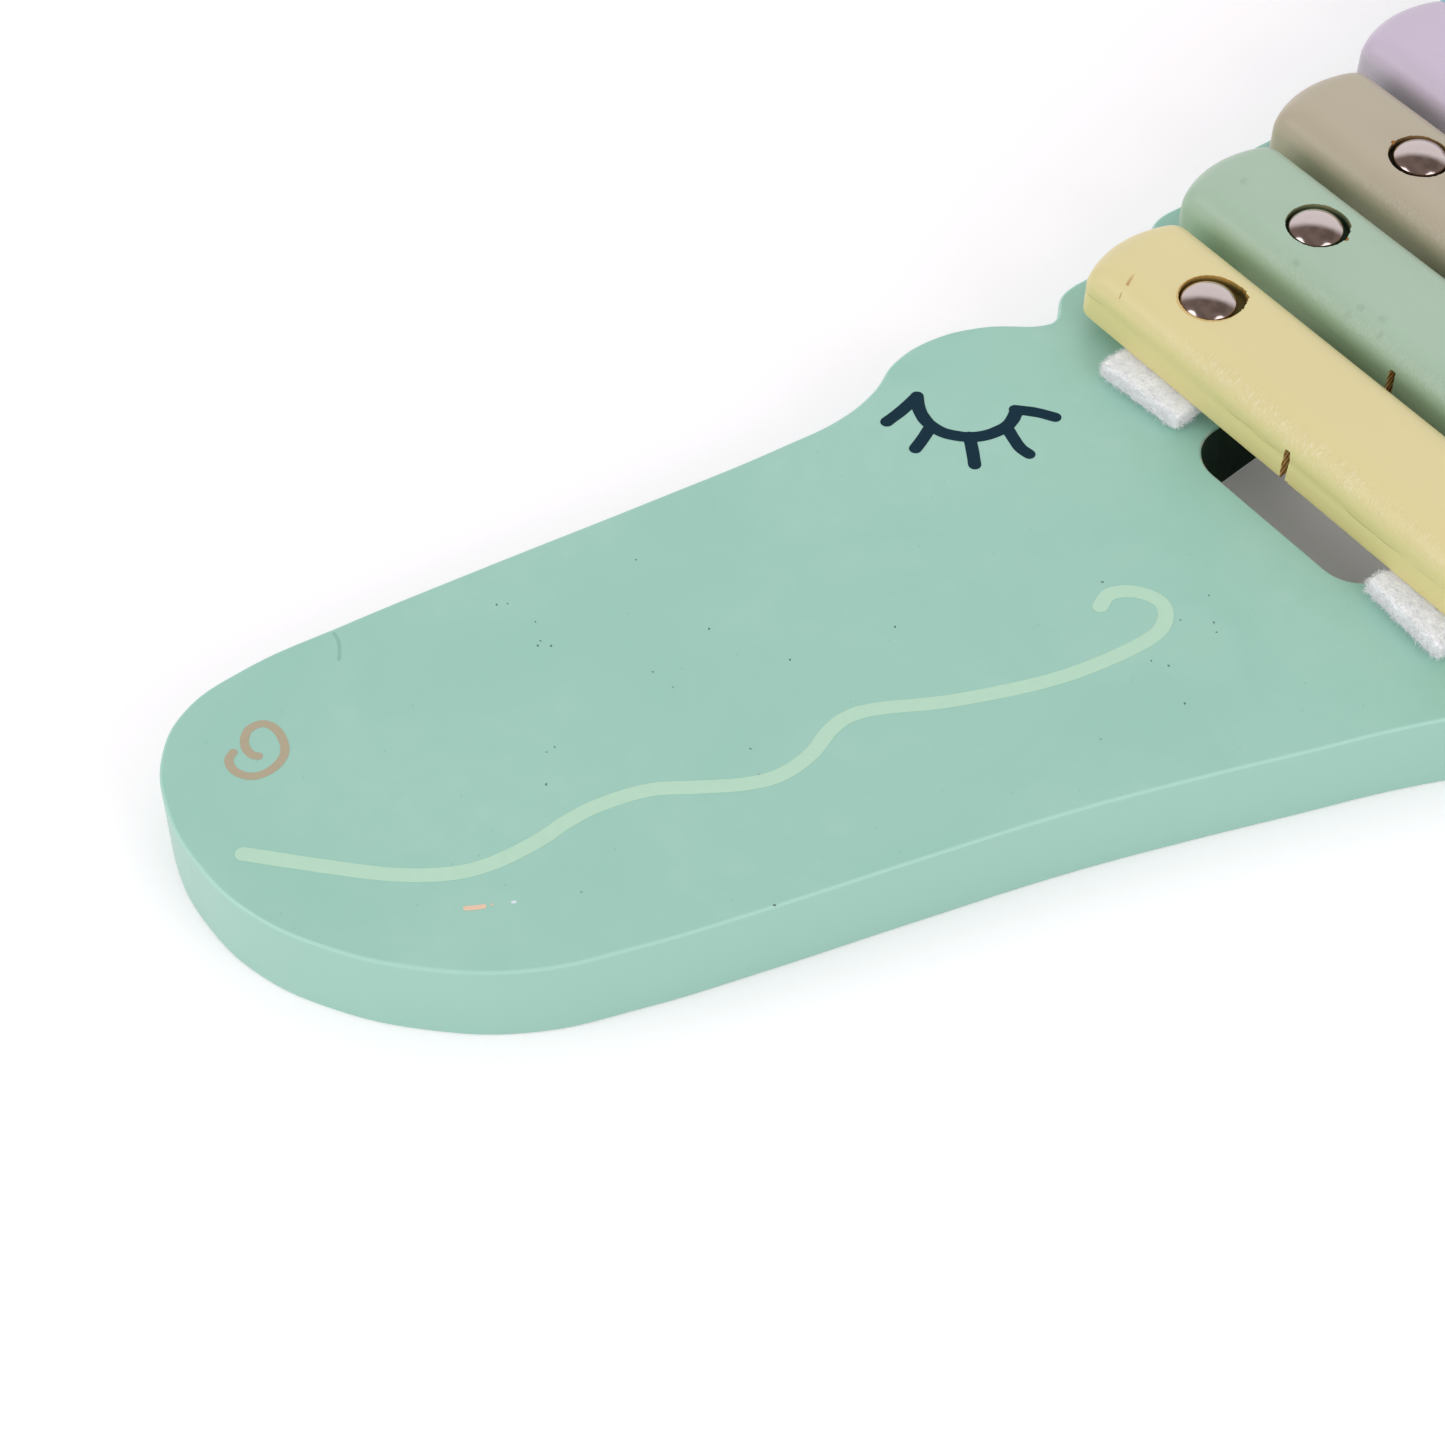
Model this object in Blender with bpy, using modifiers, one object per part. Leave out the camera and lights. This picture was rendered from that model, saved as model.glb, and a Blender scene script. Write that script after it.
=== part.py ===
"""A wooden toy xylophone: tuned bars on felt strips, nailed loosely to a board cut out as a crocodile.

Metres, +Z up. Inside the parent empty, +X runs along the board from the snout's tip towards the tail,
and Y is measured from the middle line of the row of bars, positive towards the crocodile's back.
The empty then puts the middle of the whole footprint, on the board's underside, at the world's origin.
"""

import math

import bmesh
import bpy
from mathutils import Vector

# Row of bars, from the shortest by the head to the longest by the tail
BAR_WIDTH = 0.0203
BAR_THICKNESS = 0.0102
BAR_PITCH = 0.0243
SHORT_BAR_LENGTH = 0.1004
BAR_LENGTH_STEP = 0.0092
BAR_TOP_ROUND = 0.0054
BAR_END_RADIUS = 0.0175
BAR_END_CORNER = 0.0025
BAR_PLAY = 0.0008

# Saw cut across each bar's underside near its middle, which tunes it
KERF_WIDTH = 0.0013
KERF_DEPTH = 0.0062

# Board
BOARD_THICKNESS = 0.015
BOARD_ARRIS = 0.0007
HEAD_LENGTH = 0.161
HEAD_WIDTH = 0.100
TAIL_LENGTH = 0.118
BACK_HEIGHT = 0.0735
BELLY_DEPTH = 0.080
SCUTE_PITCH = 0.023
SCUTE_RISE = 0.0029
SCUTES_TO_SLOT = 0.0055

# Opening under the bars
SLOT_LEAD = 0.0047
SLOT_CORNER = 0.0065
SLOT_TO_FELT = 0.0029
# How much further it reaches on the belly's side
FRONT_SLOT_REACH = 0.0018

# Felt strips, which spread apart along the row
FELT_WIDTH = 0.016
FELT_THICKNESS = 0.0028
FELT_LEAD = 0.0042
FELT_SPLAY_PER_BAR = 0.0019
# How much nearer to the row's middle than its nails the strip on the belly's side lies
FRONT_FELT_INSET = 0.001

# Nails
NAIL_FROM_SHORT_BAR_END = 0.0202
NAIL_HEAD_RADIUS = 0.0042
NAIL_HEAD_RIM = 0.0005
NAIL_HEAD_CROWN = 0.0019
NAIL_SHANK_RADIUS = 0.0013
NAIL_DEPTH_IN_BOARD = 0.0115
NAIL_POINT_LENGTH = 0.0028
COUNTERBORE_RADIUS = 0.005
COUNTERBORE_DEPTH = 0.0019
BAR_HOLE_RADIUS = 0.0024

# Clearance between pieces that touch, and how far a cutter runs past what it cuts
CONTACT_GAP = 0.0003
OVERRUN = 0.001
WELD_DISTANCE = 0.000001

# Bars in order: colour name, colour as linear red, green and blue, and how far the saw cut lies off the
# bar's middle, as a share of half its length
BARS = (
    ("yellow", (0.72, 0.64, 0.33), 0.038),
    ("sage", (0.40, 0.55, 0.43), 0.080),
    ("taupe", (0.48, 0.42, 0.31), 0.030),
    ("lilac", (0.60, 0.50, 0.65), 0.012),
    ("sky", (0.33, 0.57, 0.76), 0.045),
    ("rose", (0.72, 0.44, 0.44), 0.020),
    ("apricot", (0.78, 0.50, 0.30), -0.010),
    ("mint", (0.45, 0.68, 0.58), 0.025),
)
# How far each pair of nails stands off the middle of its holes along the board, as a share of the
# clearance round the head
NAIL_SHIFT_SHARES = (-0.60, -0.25, 0.35, 0.10, -0.30, 0.45, -0.15, 0.25)
BOARD_COLOUR = (0.34, 0.60, 0.49)
FELT_COLOUR = (0.82, 0.84, 0.85)
NICKEL_COLOUR = (0.66, 0.62, 0.60)

# Places that follow from the sizes above
ROW_LENGTH = (len(BARS) - 1) * BAR_PITCH + BAR_WIDTH
SLOT_LENGTH = ROW_LENGTH + 2 * SLOT_LEAD
SLOT_END = HEAD_LENGTH + SLOT_LENGTH
FIRST_BAR_X = HEAD_LENGTH + SLOT_LEAD + BAR_WIDTH / 2
FELT_BOTTOM = BOARD_THICKNESS + CONTACT_GAP
BAR_BOTTOM = FELT_BOTTOM + FELT_THICKNESS + CONTACT_GAP
BAR_TOP = BAR_BOTTOM + BAR_THICKNESS
HEAD_UNDERSIDE = BAR_TOP - COUNTERBORE_DEPTH + BAR_PLAY + CONTACT_GAP
HEAD_CLEARANCE = COUNTERBORE_RADIUS - NAIL_HEAD_RADIUS
FELT_LEAN = math.atan2(FELT_SPLAY_PER_BAR, BAR_PITCH)
NAIL_TIP = BOARD_THICKNESS - NAIL_DEPTH_IN_BOARD
NAIL_HOLE_RADIUS = NAIL_SHANK_RADIUS + CONTACT_GAP

# Outline of the board, as shares of the named sizes.
# The throat, chin and snout, then the forehead and the bump over the eye:
# shares of the head's length from the snout's tip, and of its width from the row's middle line.
HEAD_SHARES = (
    (0.935, -0.424), (0.838, -0.365), (0.735, -0.303), (0.633, -0.246), (0.492, -0.180), (0.348, -0.115),
    (0.250, -0.066), (0.161, -0.007), (0.090, 0.085), (0.036, 0.198), (0.008, 0.300), (0.000, 0.400),
    (0.012, 0.526), (0.040, 0.608), (0.082, 0.656), (0.146, 0.670), (0.249, 0.654), (0.384, 0.624),
    (0.557, 0.582), (0.700, 0.551), (0.770, 0.544), (0.815, 0.558), (0.857, 0.588), (0.905, 0.592),
    (0.955, 0.566),
)
# One scute: shares of the pitch along the back, and of the rise from the notch before it to its crest
SCUTE_SHARES = (
    (-0.160, 0.03), (-0.090, 0.00), (-0.035, 0.24), (0.032, 0.72), (0.094, 0.94), (0.190, 1.00), (0.320, 0.85),
)
CREST_SHARE = 0.190
# The crest of each scute, from the neck to the tail, as a share of the back's height
CREST_SHARES = (0.746, 0.796, 0.838, 0.882, 0.922, 0.956, 0.984, 1.000, 0.970, 0.865, 0.710, 0.545)
# Tail, from its upper side round the tip to its underside:
# shares of its length from the opening's end, and of the belly's depth
TAIL_SHARES = (
    (0.790, 0.330), (0.900, 0.270), (0.967, 0.205), (1.000, 0.110), (0.975, 0.020),
    (0.890, -0.060), (0.720, -0.165), (0.540, -0.285), (0.370, -0.430), (0.220, -0.600), (0.090, -0.800),
)
# Hind foot, belly and front foot: shares of the opening's length from its front end, and of the belly's depth
BELLY_SHARES = (
    (0.985, -0.990), (0.963, -1.080), (0.948, -1.190), (0.905, -1.255), (0.850, -1.262), (0.800, -1.205),
    (0.782, -1.100), (0.762, -1.015), (0.715, -0.975), (0.620, -0.960), (0.510, -0.930), (0.400, -0.888),
    (0.362, -0.905), (0.346, -0.975), (0.318, -1.048), (0.262, -1.075), (0.210, -1.055), (0.172, -0.985),
    (0.157, -0.885), (0.140, -0.785), (0.110, -0.715), (0.030, -0.625),
)
OUTLINE_STEPS = 3
HOLE_SIDES = 12
HEAD_SIDES = 16
ARC_STEPS = 3
CORNER_STEPS = 2
ROUND_STEPS = 4
# Faces that meet at more than this are shaded with an edge between them
SHARP_ANGLE = math.radians(35)


def new_material(name, colour, roughness, metallic=0.0):
    material = bpy.data.materials.new(name)
    material.use_nodes = True
    shader = material.node_tree.nodes["Principled BSDF"]
    shader.inputs["Base Color"].default_value = (*colour, 1.0)
    shader.inputs["Roughness"].default_value = roughness
    shader.inputs["Metallic"].default_value = metallic
    return material


def arc(centre, radius, start, end, steps):
    """Points on an arc in the XY plane, both ends included. Angles are in radians."""
    points = []
    for step in range(steps + 1):
        angle = start + (end - start) * step / steps
        points.append((centre[0] + radius * math.cos(angle), centre[1] + radius * math.sin(angle)))
    return points


def bar_length(index):
    return SHORT_BAR_LENGTH + index * BAR_LENGTH_STEP


def bar_x(index):
    return FIRST_BAR_X + index * BAR_PITCH


def nail_y(x):
    """Distance of the line of nails, and so of the felt's middle, from the row's middle line."""
    first = SHORT_BAR_LENGTH / 2 - NAIL_FROM_SHORT_BAR_END
    return first + (x - FIRST_BAR_X) / BAR_PITCH * FELT_SPLAY_PER_BAR


def head_points():
    return [(x * HEAD_LENGTH, y * HEAD_WIDTH) for x, y in HEAD_SHARES]


def crest_y(position):
    """Height of the line through the scutes' crests. The position counts scutes from the first crest."""
    number = min(max(math.floor(position), 0), len(CREST_SHARES) - 2)
    near, far = CREST_SHARES[number:number + 2]
    return BACK_HEIGHT * (near + (far - near) * (position - number))


def back_points():
    points = []
    for number in range(len(CREST_SHARES)):
        for x, y in SCUTE_SHARES:
            crest = crest_y(number + x - CREST_SHARE)
            along = HEAD_LENGTH + SCUTES_TO_SLOT + (number + x) * SCUTE_PITCH
            points.append((along, crest - (1 - y) * SCUTE_RISE))
    return points


def tail_points():
    return [(SLOT_END + x * TAIL_LENGTH, y * BELLY_DEPTH) for x, y in TAIL_SHARES]


def belly_points():
    return [(HEAD_LENGTH + x * SLOT_LENGTH, y * BELLY_DEPTH) for x, y in BELLY_SHARES]


def slot_points():
    """The opening, wider towards the tail like the felt strips beside it, with rounded corners."""
    margin = (FELT_WIDTH / 2 + SLOT_TO_FELT + SLOT_CORNER) / math.cos(FELT_LEAN)
    front = HEAD_LENGTH + SLOT_CORNER
    back = SLOT_END - SLOT_CORNER
    front_y = nail_y(front) - margin
    back_y = nail_y(back) - margin
    right = math.pi / 2
    points = arc((front, -front_y - FRONT_SLOT_REACH), SLOT_CORNER, -2 * right, -right - FELT_LEAN, ARC_STEPS)
    points += arc((back, -back_y - FRONT_SLOT_REACH), SLOT_CORNER, -right - FELT_LEAN, 0, ARC_STEPS)
    points += arc((back, back_y), SLOT_CORNER, 0, right + FELT_LEAN, ARC_STEPS)
    points += arc((front, front_y), SLOT_CORNER, right + FELT_LEAN, 2 * right, ARC_STEPS)
    return points


def bar_outline(length, inset):
    """Plan of a bar about its own middle, drawn in by an inset. The ends are arcs between tight corners."""
    corner = BAR_END_CORNER
    inner_x = BAR_WIDTH / 2 - inset - corner
    centre_y = length / 2 - inset - BAR_END_RADIUS
    reach = BAR_END_RADIUS - corner
    turn = math.asin(inner_x / reach)
    corner_y = centre_y + reach * math.cos(turn)
    upright = math.pi / 2
    half = arc((inner_x, corner_y), corner, 0, upright - turn, CORNER_STEPS)
    half += arc((0, centre_y), BAR_END_RADIUS, upright - turn, upright + turn, ROUND_STEPS)[1:-1]
    half += arc((-inner_x, corner_y), corner, upright + turn, math.pi, CORNER_STEPS)
    return half + [(-x, -y) for x, y in half]


def add_poly(curve, points):
    spline = curve.splines.new("POLY")
    spline.points.add(len(points) - 1)
    for point, (x, y) in zip(spline.points, points):
        point.co = (x, y, 0, 1)
    spline.use_cyclic_u = True


def add_smooth(curve, points):
    """A closed Bezier spline that passes smoothly through the points."""
    spline = curve.splines.new("BEZIER")
    spline.bezier_points.add(len(points) - 1)
    for point, (x, y) in zip(spline.bezier_points, points):
        point.co = (x, y, 0)
        point.handle_left_type = "AUTO"
        point.handle_right_type = "AUTO"
    spline.use_cyclic_u = True
    spline.resolution_u = OUTLINE_STEPS


def flat_curve(name, thickness, edge_round=0.0):
    """A 2D curve that fills its splines and stands on both sides of z = 0. Its edges may be eased."""
    curve = bpy.data.curves.new(name, "CURVE")
    curve.dimensions = "2D"
    curve.fill_mode = "BOTH"
    curve.extrude = thickness / 2 - edge_round
    curve.bevel_depth = edge_round
    curve.bevel_resolution = 0
    curve.offset = -edge_round
    return curve


def mesh_from_curve(name, curve, collection, location):
    """Turns a curve into a mesh object with its caps welded on, so that it can be cut."""
    source = bpy.data.objects.new(name + "_curve", curve)
    collection.objects.link(source)
    source.location = location
    bpy.context.view_layer.update()
    evaluated = source.evaluated_get(bpy.context.evaluated_depsgraph_get())
    mesh = bpy.data.meshes.new_from_object(evaluated)
    mesh.name = name
    work = bmesh.new()
    work.from_mesh(mesh)
    bmesh.ops.remove_doubles(work, verts=work.verts, dist=WELD_DISTANCE)
    bmesh.ops.recalc_face_normals(work, faces=work.faces)
    work.to_mesh(mesh)
    work.free()
    made = bpy.data.objects.new(name, mesh)
    made.matrix_world = source.matrix_world
    collection.objects.link(made)
    bpy.data.objects.remove(source)
    return made


def bar_object(name, length, parts):
    """A bar lofted from level outlines: upright below, then drawn in along a quarter round to the top."""
    levels = [(0, 0)]
    for step in range(ROUND_STEPS + 1):
        angle = math.pi / 2 * step / ROUND_STEPS
        inset = BAR_TOP_ROUND * (1 - math.cos(angle))
        levels.append((BAR_THICKNESS - BAR_TOP_ROUND + BAR_TOP_ROUND * math.sin(angle), inset))
    work = bmesh.new()
    rings = [[work.verts.new((x, y, z)) for x, y in bar_outline(length, inset)] for z, inset in levels]
    for lower, upper in zip(rings, rings[1:]):
        for here in range(len(lower)):
            after = (here + 1) % len(lower)
            work.faces.new((lower[here], lower[after], upper[after], upper[here]))
    work.faces.new(rings[-1])
    work.faces.new(rings[0][::-1])
    mesh = bpy.data.meshes.new(name)
    work.to_mesh(mesh)
    work.free()
    bar = bpy.data.objects.new(name, mesh)
    parts.objects.link(bar)
    return bar


def pin_cutter(name, radius, bottom, top, places, collection):
    """One cutter that holds an upright cylinder at each place."""
    work = bmesh.new()
    for x, y in places:
        made = bmesh.ops.create_cone(
            work, cap_ends=True, segments=HOLE_SIDES, radius1=radius, radius2=radius, depth=top - bottom
        )
        bmesh.ops.translate(work, verts=made["verts"], vec=Vector((x, y, (top + bottom) / 2)))
    return cutter_object(name, work, collection)


def block_cutter(name, size, centre, collection):
    work = bmesh.new()
    bmesh.ops.create_cube(work, size=1)
    bmesh.ops.scale(work, verts=work.verts, vec=size)
    bmesh.ops.translate(work, verts=work.verts, vec=centre)
    return cutter_object(name, work, collection)


def cutter_object(name, work, collection):
    mesh = bpy.data.meshes.new(name)
    work.to_mesh(mesh)
    work.free()
    cutter = bpy.data.objects.new(name, mesh)
    cutter.hide_render = True
    cutter.display_type = "WIRE"
    collection.objects.link(cutter)
    return cutter


def cut(obj, cutter):
    modifier = obj.modifiers.new("cut " + cutter.name, "BOOLEAN")
    modifier.operation = "DIFFERENCE"
    modifier.object = cutter


def finish(obj, material, parent):
    obj.data.materials.clear()
    obj.data.materials.append(material)
    obj.data.shade_smooth()
    obj.data.set_sharp_from_angle(angle=SHARP_ANGLE)
    obj.parent = parent


def nail_places():
    """Where the nails stand, the back one and the front one of each bar in turn."""
    places = []
    for index, share in enumerate(NAIL_SHIFT_SHARES):
        x = bar_x(index)
        places += [(x + share * HEAD_CLEARANCE, nail_y(x)), (x + share * HEAD_CLEARANCE, -nail_y(x))]
    return places


def make_board(parts, cutters, parent):
    curve = flat_curve("crocodile_board", BOARD_THICKNESS, BOARD_ARRIS)
    add_smooth(curve, head_points() + back_points() + tail_points() + belly_points())
    add_poly(curve, slot_points())
    board = mesh_from_curve("crocodile_board", curve, parts, (0, 0, BOARD_THICKNESS / 2))
    bottom = NAIL_TIP - CONTACT_GAP
    top = BOARD_THICKNESS + OVERRUN
    holes = pin_cutter("board_nail_holes", NAIL_HOLE_RADIUS, bottom, top, nail_places(), cutters)
    holes.parent = parent
    cut(board, holes)
    finish(board, new_material("board_paint", BOARD_COLOUR, 0.42), parent)


def felt_corners(side):
    """Plan of a felt strip: its middle line runs under the nails, and its ends are cut square to it."""
    across = Vector((-math.sin(FELT_LEAN), side * math.cos(FELT_LEAN))) * FELT_WIDTH / 2
    reach = BAR_WIDTH / 2 + FELT_LEAD
    inset = FRONT_FELT_INSET if side < 0 else 0
    ends = [Vector((x, side * (nail_y(x) - inset))) for x in (bar_x(0) - reach, bar_x(len(BARS) - 1) + reach)]
    return [ends[0] - across, ends[1] - across, ends[1] + across, ends[0] + across]


def make_felt(name, side, parts, cutters, parent, material):
    curve = flat_curve(name, FELT_THICKNESS)
    add_poly(curve, felt_corners(side))
    felt = mesh_from_curve(name, curve, parts, (0, 0, FELT_BOTTOM + FELT_THICKNESS / 2))
    places = [(x, y) for x, y in nail_places() if y * side > 0]
    bottom = FELT_BOTTOM - OVERRUN
    top = BAR_BOTTOM + OVERRUN
    holes = pin_cutter(name + "_nail_holes", NAIL_HOLE_RADIUS, bottom, top, places, cutters)
    holes.parent = parent
    cut(felt, holes)
    finish(felt, material, parent)


def make_bar(index, parts, cutters, parent):
    colour_name, colour, kerf_share = BARS[index]
    name = "bar_" + colour_name
    bar = bar_object(name, bar_length(index), parts)
    bar.location = (bar_x(index), 0, BAR_BOTTOM)
    nail = nail_y(bar_x(index))
    places = [(0, nail), (0, -nail)]
    top = BAR_THICKNESS + OVERRUN
    through = pin_cutter(name + "_holes", BAR_HOLE_RADIUS, -OVERRUN, top, places, cutters)
    floor = BAR_THICKNESS - COUNTERBORE_DEPTH
    wells = pin_cutter(name + "_counterbores", COUNTERBORE_RADIUS, floor, top, places, cutters)
    kerf_size = (BAR_WIDTH + 2 * OVERRUN, KERF_WIDTH, KERF_DEPTH + OVERRUN)
    kerf_middle = (0, kerf_share * bar_length(index) / 2, (KERF_DEPTH - OVERRUN) / 2)
    kerf = block_cutter(name + "_kerf", kerf_size, kerf_middle, cutters)
    for cutter in (through, wells, kerf):
        cutter.parent = bar
        cut(bar, cutter)
    finish(bar, new_material(colour_name + "_paint", colour, 0.4), parent)


def nail_profile():
    """Half section of a nail from the crown of its domed head, down its outer side, to its point."""
    rim_top = HEAD_UNDERSIDE + NAIL_HEAD_RIM
    sphere = (NAIL_HEAD_RADIUS ** 2 + NAIL_HEAD_CROWN ** 2) / (2 * NAIL_HEAD_CROWN)
    centre = rim_top + NAIL_HEAD_CROWN - sphere
    spread = math.asin(NAIL_HEAD_RADIUS / sphere)
    crown = arc((0, centre), sphere, math.pi / 2, math.pi / 2 - spread, ARC_STEPS)
    return crown + [
        (NAIL_HEAD_RADIUS, HEAD_UNDERSIDE),
        (NAIL_SHANK_RADIUS, HEAD_UNDERSIDE),
        (NAIL_SHANK_RADIUS, NAIL_TIP + NAIL_POINT_LENGTH),
        (0, NAIL_TIP),
    ]


def nail_mesh(material):
    profile = [(max(radius, 0), 0, z) for radius, z in nail_profile()]
    profile[0] = (0, 0, profile[0][2])
    mesh = bpy.data.meshes.new("domed_nail")
    mesh.from_pydata(profile, [(n, n + 1) for n in range(len(profile) - 1)], [])
    mesh.materials.append(material)
    return mesh


def make_nail(name, mesh, place, parts, parent):
    nail = bpy.data.objects.new(name, mesh)
    parts.objects.link(nail)
    nail.location = (*place, 0)
    turn = nail.modifiers.new("turn", "SCREW")
    turn.steps = HEAD_SIDES
    turn.render_steps = HEAD_SIDES
    turn.use_merge_vertices = True
    turn.merge_threshold = WELD_DISTANCE
    turn.use_smooth_shade = True
    nail.parent = parent


def footprint_middle():
    """The middle of the box round the board and the bars, seen from above."""
    outline = bpy.data.objects["crocodile_board"].data.vertices
    longest = bar_length(len(BARS) - 1) / 2
    xs = [vertex.co.x for vertex in outline]
    ys = [vertex.co.y for vertex in outline] + [longest, -longest]
    return (min(xs) + max(xs)) / 2, (min(ys) + max(ys)) / 2


def clear_scene():
    for obj in list(bpy.data.objects):
        bpy.data.objects.remove(obj)


def main():
    clear_scene()
    parts = bpy.data.collections.new("crocodile xylophone")
    cutters = bpy.data.collections.new("cutters")
    for collection in (parts, cutters):
        bpy.context.scene.collection.children.link(collection)
    cutters.hide_render = True
    toy = bpy.data.objects.new("crocodile_xylophone", None)
    parts.objects.link(toy)

    make_board(parts, cutters, toy)
    felt_material = new_material("felt", FELT_COLOUR, 0.95)
    make_felt("felt_strip_back", 1, parts, cutters, toy, felt_material)
    make_felt("felt_strip_front", -1, parts, cutters, toy, felt_material)
    nail_shape = nail_mesh(new_material("nickel", NICKEL_COLOUR, 0.16, metallic=1.0))
    places = nail_places()
    for index, (colour_name, _, _) in enumerate(BARS):
        make_bar(index, parts, cutters, toy)
        back, front = places[2 * index:2 * index + 2]
        make_nail("nail_" + colour_name + "_back", nail_shape, back, parts, toy)
        make_nail("nail_" + colour_name + "_front", nail_shape, front, parts, toy)

    middle_x, middle_y = footprint_middle()
    toy.location = (-middle_x, -middle_y, 0)


main()
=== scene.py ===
"""The looks of a wooden toy xylophone on a crocodile board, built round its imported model.

Metres, in the model's own frame: +X runs from the snout to the tail, +Y towards the crocodile's back and
+Z up out of the bars.
"""

import math
import random

import bmesh
import bpy
from bpy.props import FloatProperty, FloatVectorProperty, IntProperty, PointerProperty
from mathutils import Matrix, Vector, kdtree, noise


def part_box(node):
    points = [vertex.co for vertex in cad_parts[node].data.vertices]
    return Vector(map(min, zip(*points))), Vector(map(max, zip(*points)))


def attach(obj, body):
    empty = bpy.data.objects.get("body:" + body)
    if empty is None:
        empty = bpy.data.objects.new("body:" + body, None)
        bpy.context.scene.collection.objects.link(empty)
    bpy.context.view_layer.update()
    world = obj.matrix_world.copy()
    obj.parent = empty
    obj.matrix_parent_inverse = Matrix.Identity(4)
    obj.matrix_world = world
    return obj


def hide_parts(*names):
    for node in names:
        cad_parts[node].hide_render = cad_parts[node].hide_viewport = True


bl_info = {
    "name": "Crocodile Xylophone",
    "version": (1, 0, 0),
    "blender": (4, 5, 0),
    "location": "View3D > Sidebar > Xylophone",
    "description": "Makes the painted board, its face, the bars, felt strips and nails, and the stage",
    "category": "Add Mesh",
}

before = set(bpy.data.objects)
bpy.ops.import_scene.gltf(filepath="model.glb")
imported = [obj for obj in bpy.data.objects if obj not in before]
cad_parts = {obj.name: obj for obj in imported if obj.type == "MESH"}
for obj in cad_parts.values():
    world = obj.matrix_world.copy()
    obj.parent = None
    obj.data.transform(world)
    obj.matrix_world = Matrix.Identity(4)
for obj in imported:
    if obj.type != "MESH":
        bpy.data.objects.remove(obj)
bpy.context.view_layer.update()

COLOURS = ("yellow", "sage", "taupe", "lilac", "sky", "rose", "apricot", "mint")
SIDES = ("back", "front")
MILLIMETRE = 0.001

# Plan of the board, as in the part: shares of the named sizes that follow
BOARD_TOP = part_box("crocodile_board")[1].z
SNOUT_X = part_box("crocodile_board")[0].x
ROW_Y = (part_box("bar_yellow")[0].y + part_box("bar_yellow")[1].y) / 2
HEAD_LENGTH = 0.161
HEAD_WIDTH = 0.100
BACK_HEIGHT = 0.0735
BELLY_DEPTH = 0.080
TAIL_LENGTH = 0.118
SCUTE_PITCH = 0.023
SCUTE_RISE = 0.0029
SCUTES_TO_SLOT = 0.0055
SLOT_LENGTH = 0.1998
SLOT_CORNER = 0.0065
SLOT_HALF_WIDTHS = (0.0177, 0.0333)
FRONT_SLOT_REACH = 0.0018
HEAD_SHARES = (
    (0.935, -0.424), (0.838, -0.365), (0.735, -0.303), (0.633, -0.246), (0.492, -0.180), (0.348, -0.115),
    (0.250, -0.066), (0.161, -0.007), (0.090, 0.085), (0.036, 0.198), (0.008, 0.300), (0.000, 0.400),
    (0.012, 0.526), (0.040, 0.608), (0.082, 0.656), (0.146, 0.670), (0.249, 0.654), (0.384, 0.624),
    (0.557, 0.582), (0.700, 0.551), (0.770, 0.544), (0.815, 0.558), (0.857, 0.588), (0.905, 0.592),
    (0.955, 0.566),
)
SCUTE_SHARES = (
    (-0.160, 0.03), (-0.090, 0.00), (-0.035, 0.24), (0.032, 0.72), (0.094, 0.94), (0.190, 1.00),
    (0.320, 0.85),
)
CREST_SHARE = 0.190
CREST_SHARES = (0.746, 0.796, 0.838, 0.882, 0.922, 0.956, 0.984, 1.000, 0.970, 0.865, 0.710, 0.545)
TAIL_SHARES = (
    (0.790, 0.330), (0.900, 0.270), (0.967, 0.205), (1.000, 0.110), (0.975, 0.020),
    (0.890, -0.060), (0.720, -0.165), (0.540, -0.285), (0.370, -0.430), (0.220, -0.600), (0.090, -0.800),
)
BELLY_SHARES = (
    (0.985, -0.990), (0.963, -1.080), (0.948, -1.190), (0.905, -1.255), (0.850, -1.262), (0.800, -1.205),
    (0.782, -1.100), (0.762, -1.015), (0.715, -0.975), (0.620, -0.960), (0.510, -0.930), (0.400, -0.888),
    (0.362, -0.905), (0.346, -0.975), (0.318, -1.048), (0.262, -1.075), (0.210, -1.055), (0.172, -0.985),
    (0.157, -0.885), (0.140, -0.785), (0.110, -0.715), (0.030, -0.625),
)

# Painted face: the middle line of each brush stroke, on the board's top
MOUTH = (
    (-0.2334, 0.0484), (-0.2259, 0.0401), (-0.2190, 0.0330), (-0.2126, 0.0284), (-0.2069, 0.0264),
    (-0.2001, 0.0258), (-0.1950, 0.0261), (-0.1895, 0.0257), (-0.1824, 0.0236), (-0.1766, 0.0198),
    (-0.1712, 0.0164), (-0.1664, 0.0147), (-0.1608, 0.0150), (-0.1557, 0.0168), (-0.1519, 0.0171),
    (-0.1476, 0.0156), (-0.1388, 0.0106), (-0.1264, 0.0054), (-0.1170, 0.0030), (-0.1081, 0.0021),
    (-0.1040, 0.0034), (-0.1022, 0.0064), (-0.1038, 0.0101), (-0.1070, 0.0120), (-0.1098, 0.0111),
)
EYELID = (
    (-0.1036, 0.0603), (-0.1049, 0.0584), (-0.1057, 0.0563), (-0.1059, 0.0542), (-0.1054, 0.0520),
    (-0.1042, 0.0502), (-0.1027, 0.0487), (-0.1009, 0.0477), (-0.0990, 0.0472), (-0.0968, 0.0471),
    (-0.0950, 0.0477), (-0.0934, 0.0487),
)
LASHES = (
    ((-0.1036, 0.0603), (-0.1073, 0.0594), (-0.1108, 0.0589)),
    ((-0.1060, 0.0541), (-0.1087, 0.0528), (-0.1109, 0.0519)),
    ((-0.1027, 0.0489), (-0.1043, 0.0463), (-0.1059, 0.0439)),
    ((-0.0969, 0.0470), (-0.0977, 0.0442), (-0.0981, 0.0423), (-0.0979, 0.0406)),
    ((-0.0934, 0.0490), (-0.0912, 0.0466), (-0.0896, 0.0441)),
)
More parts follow.
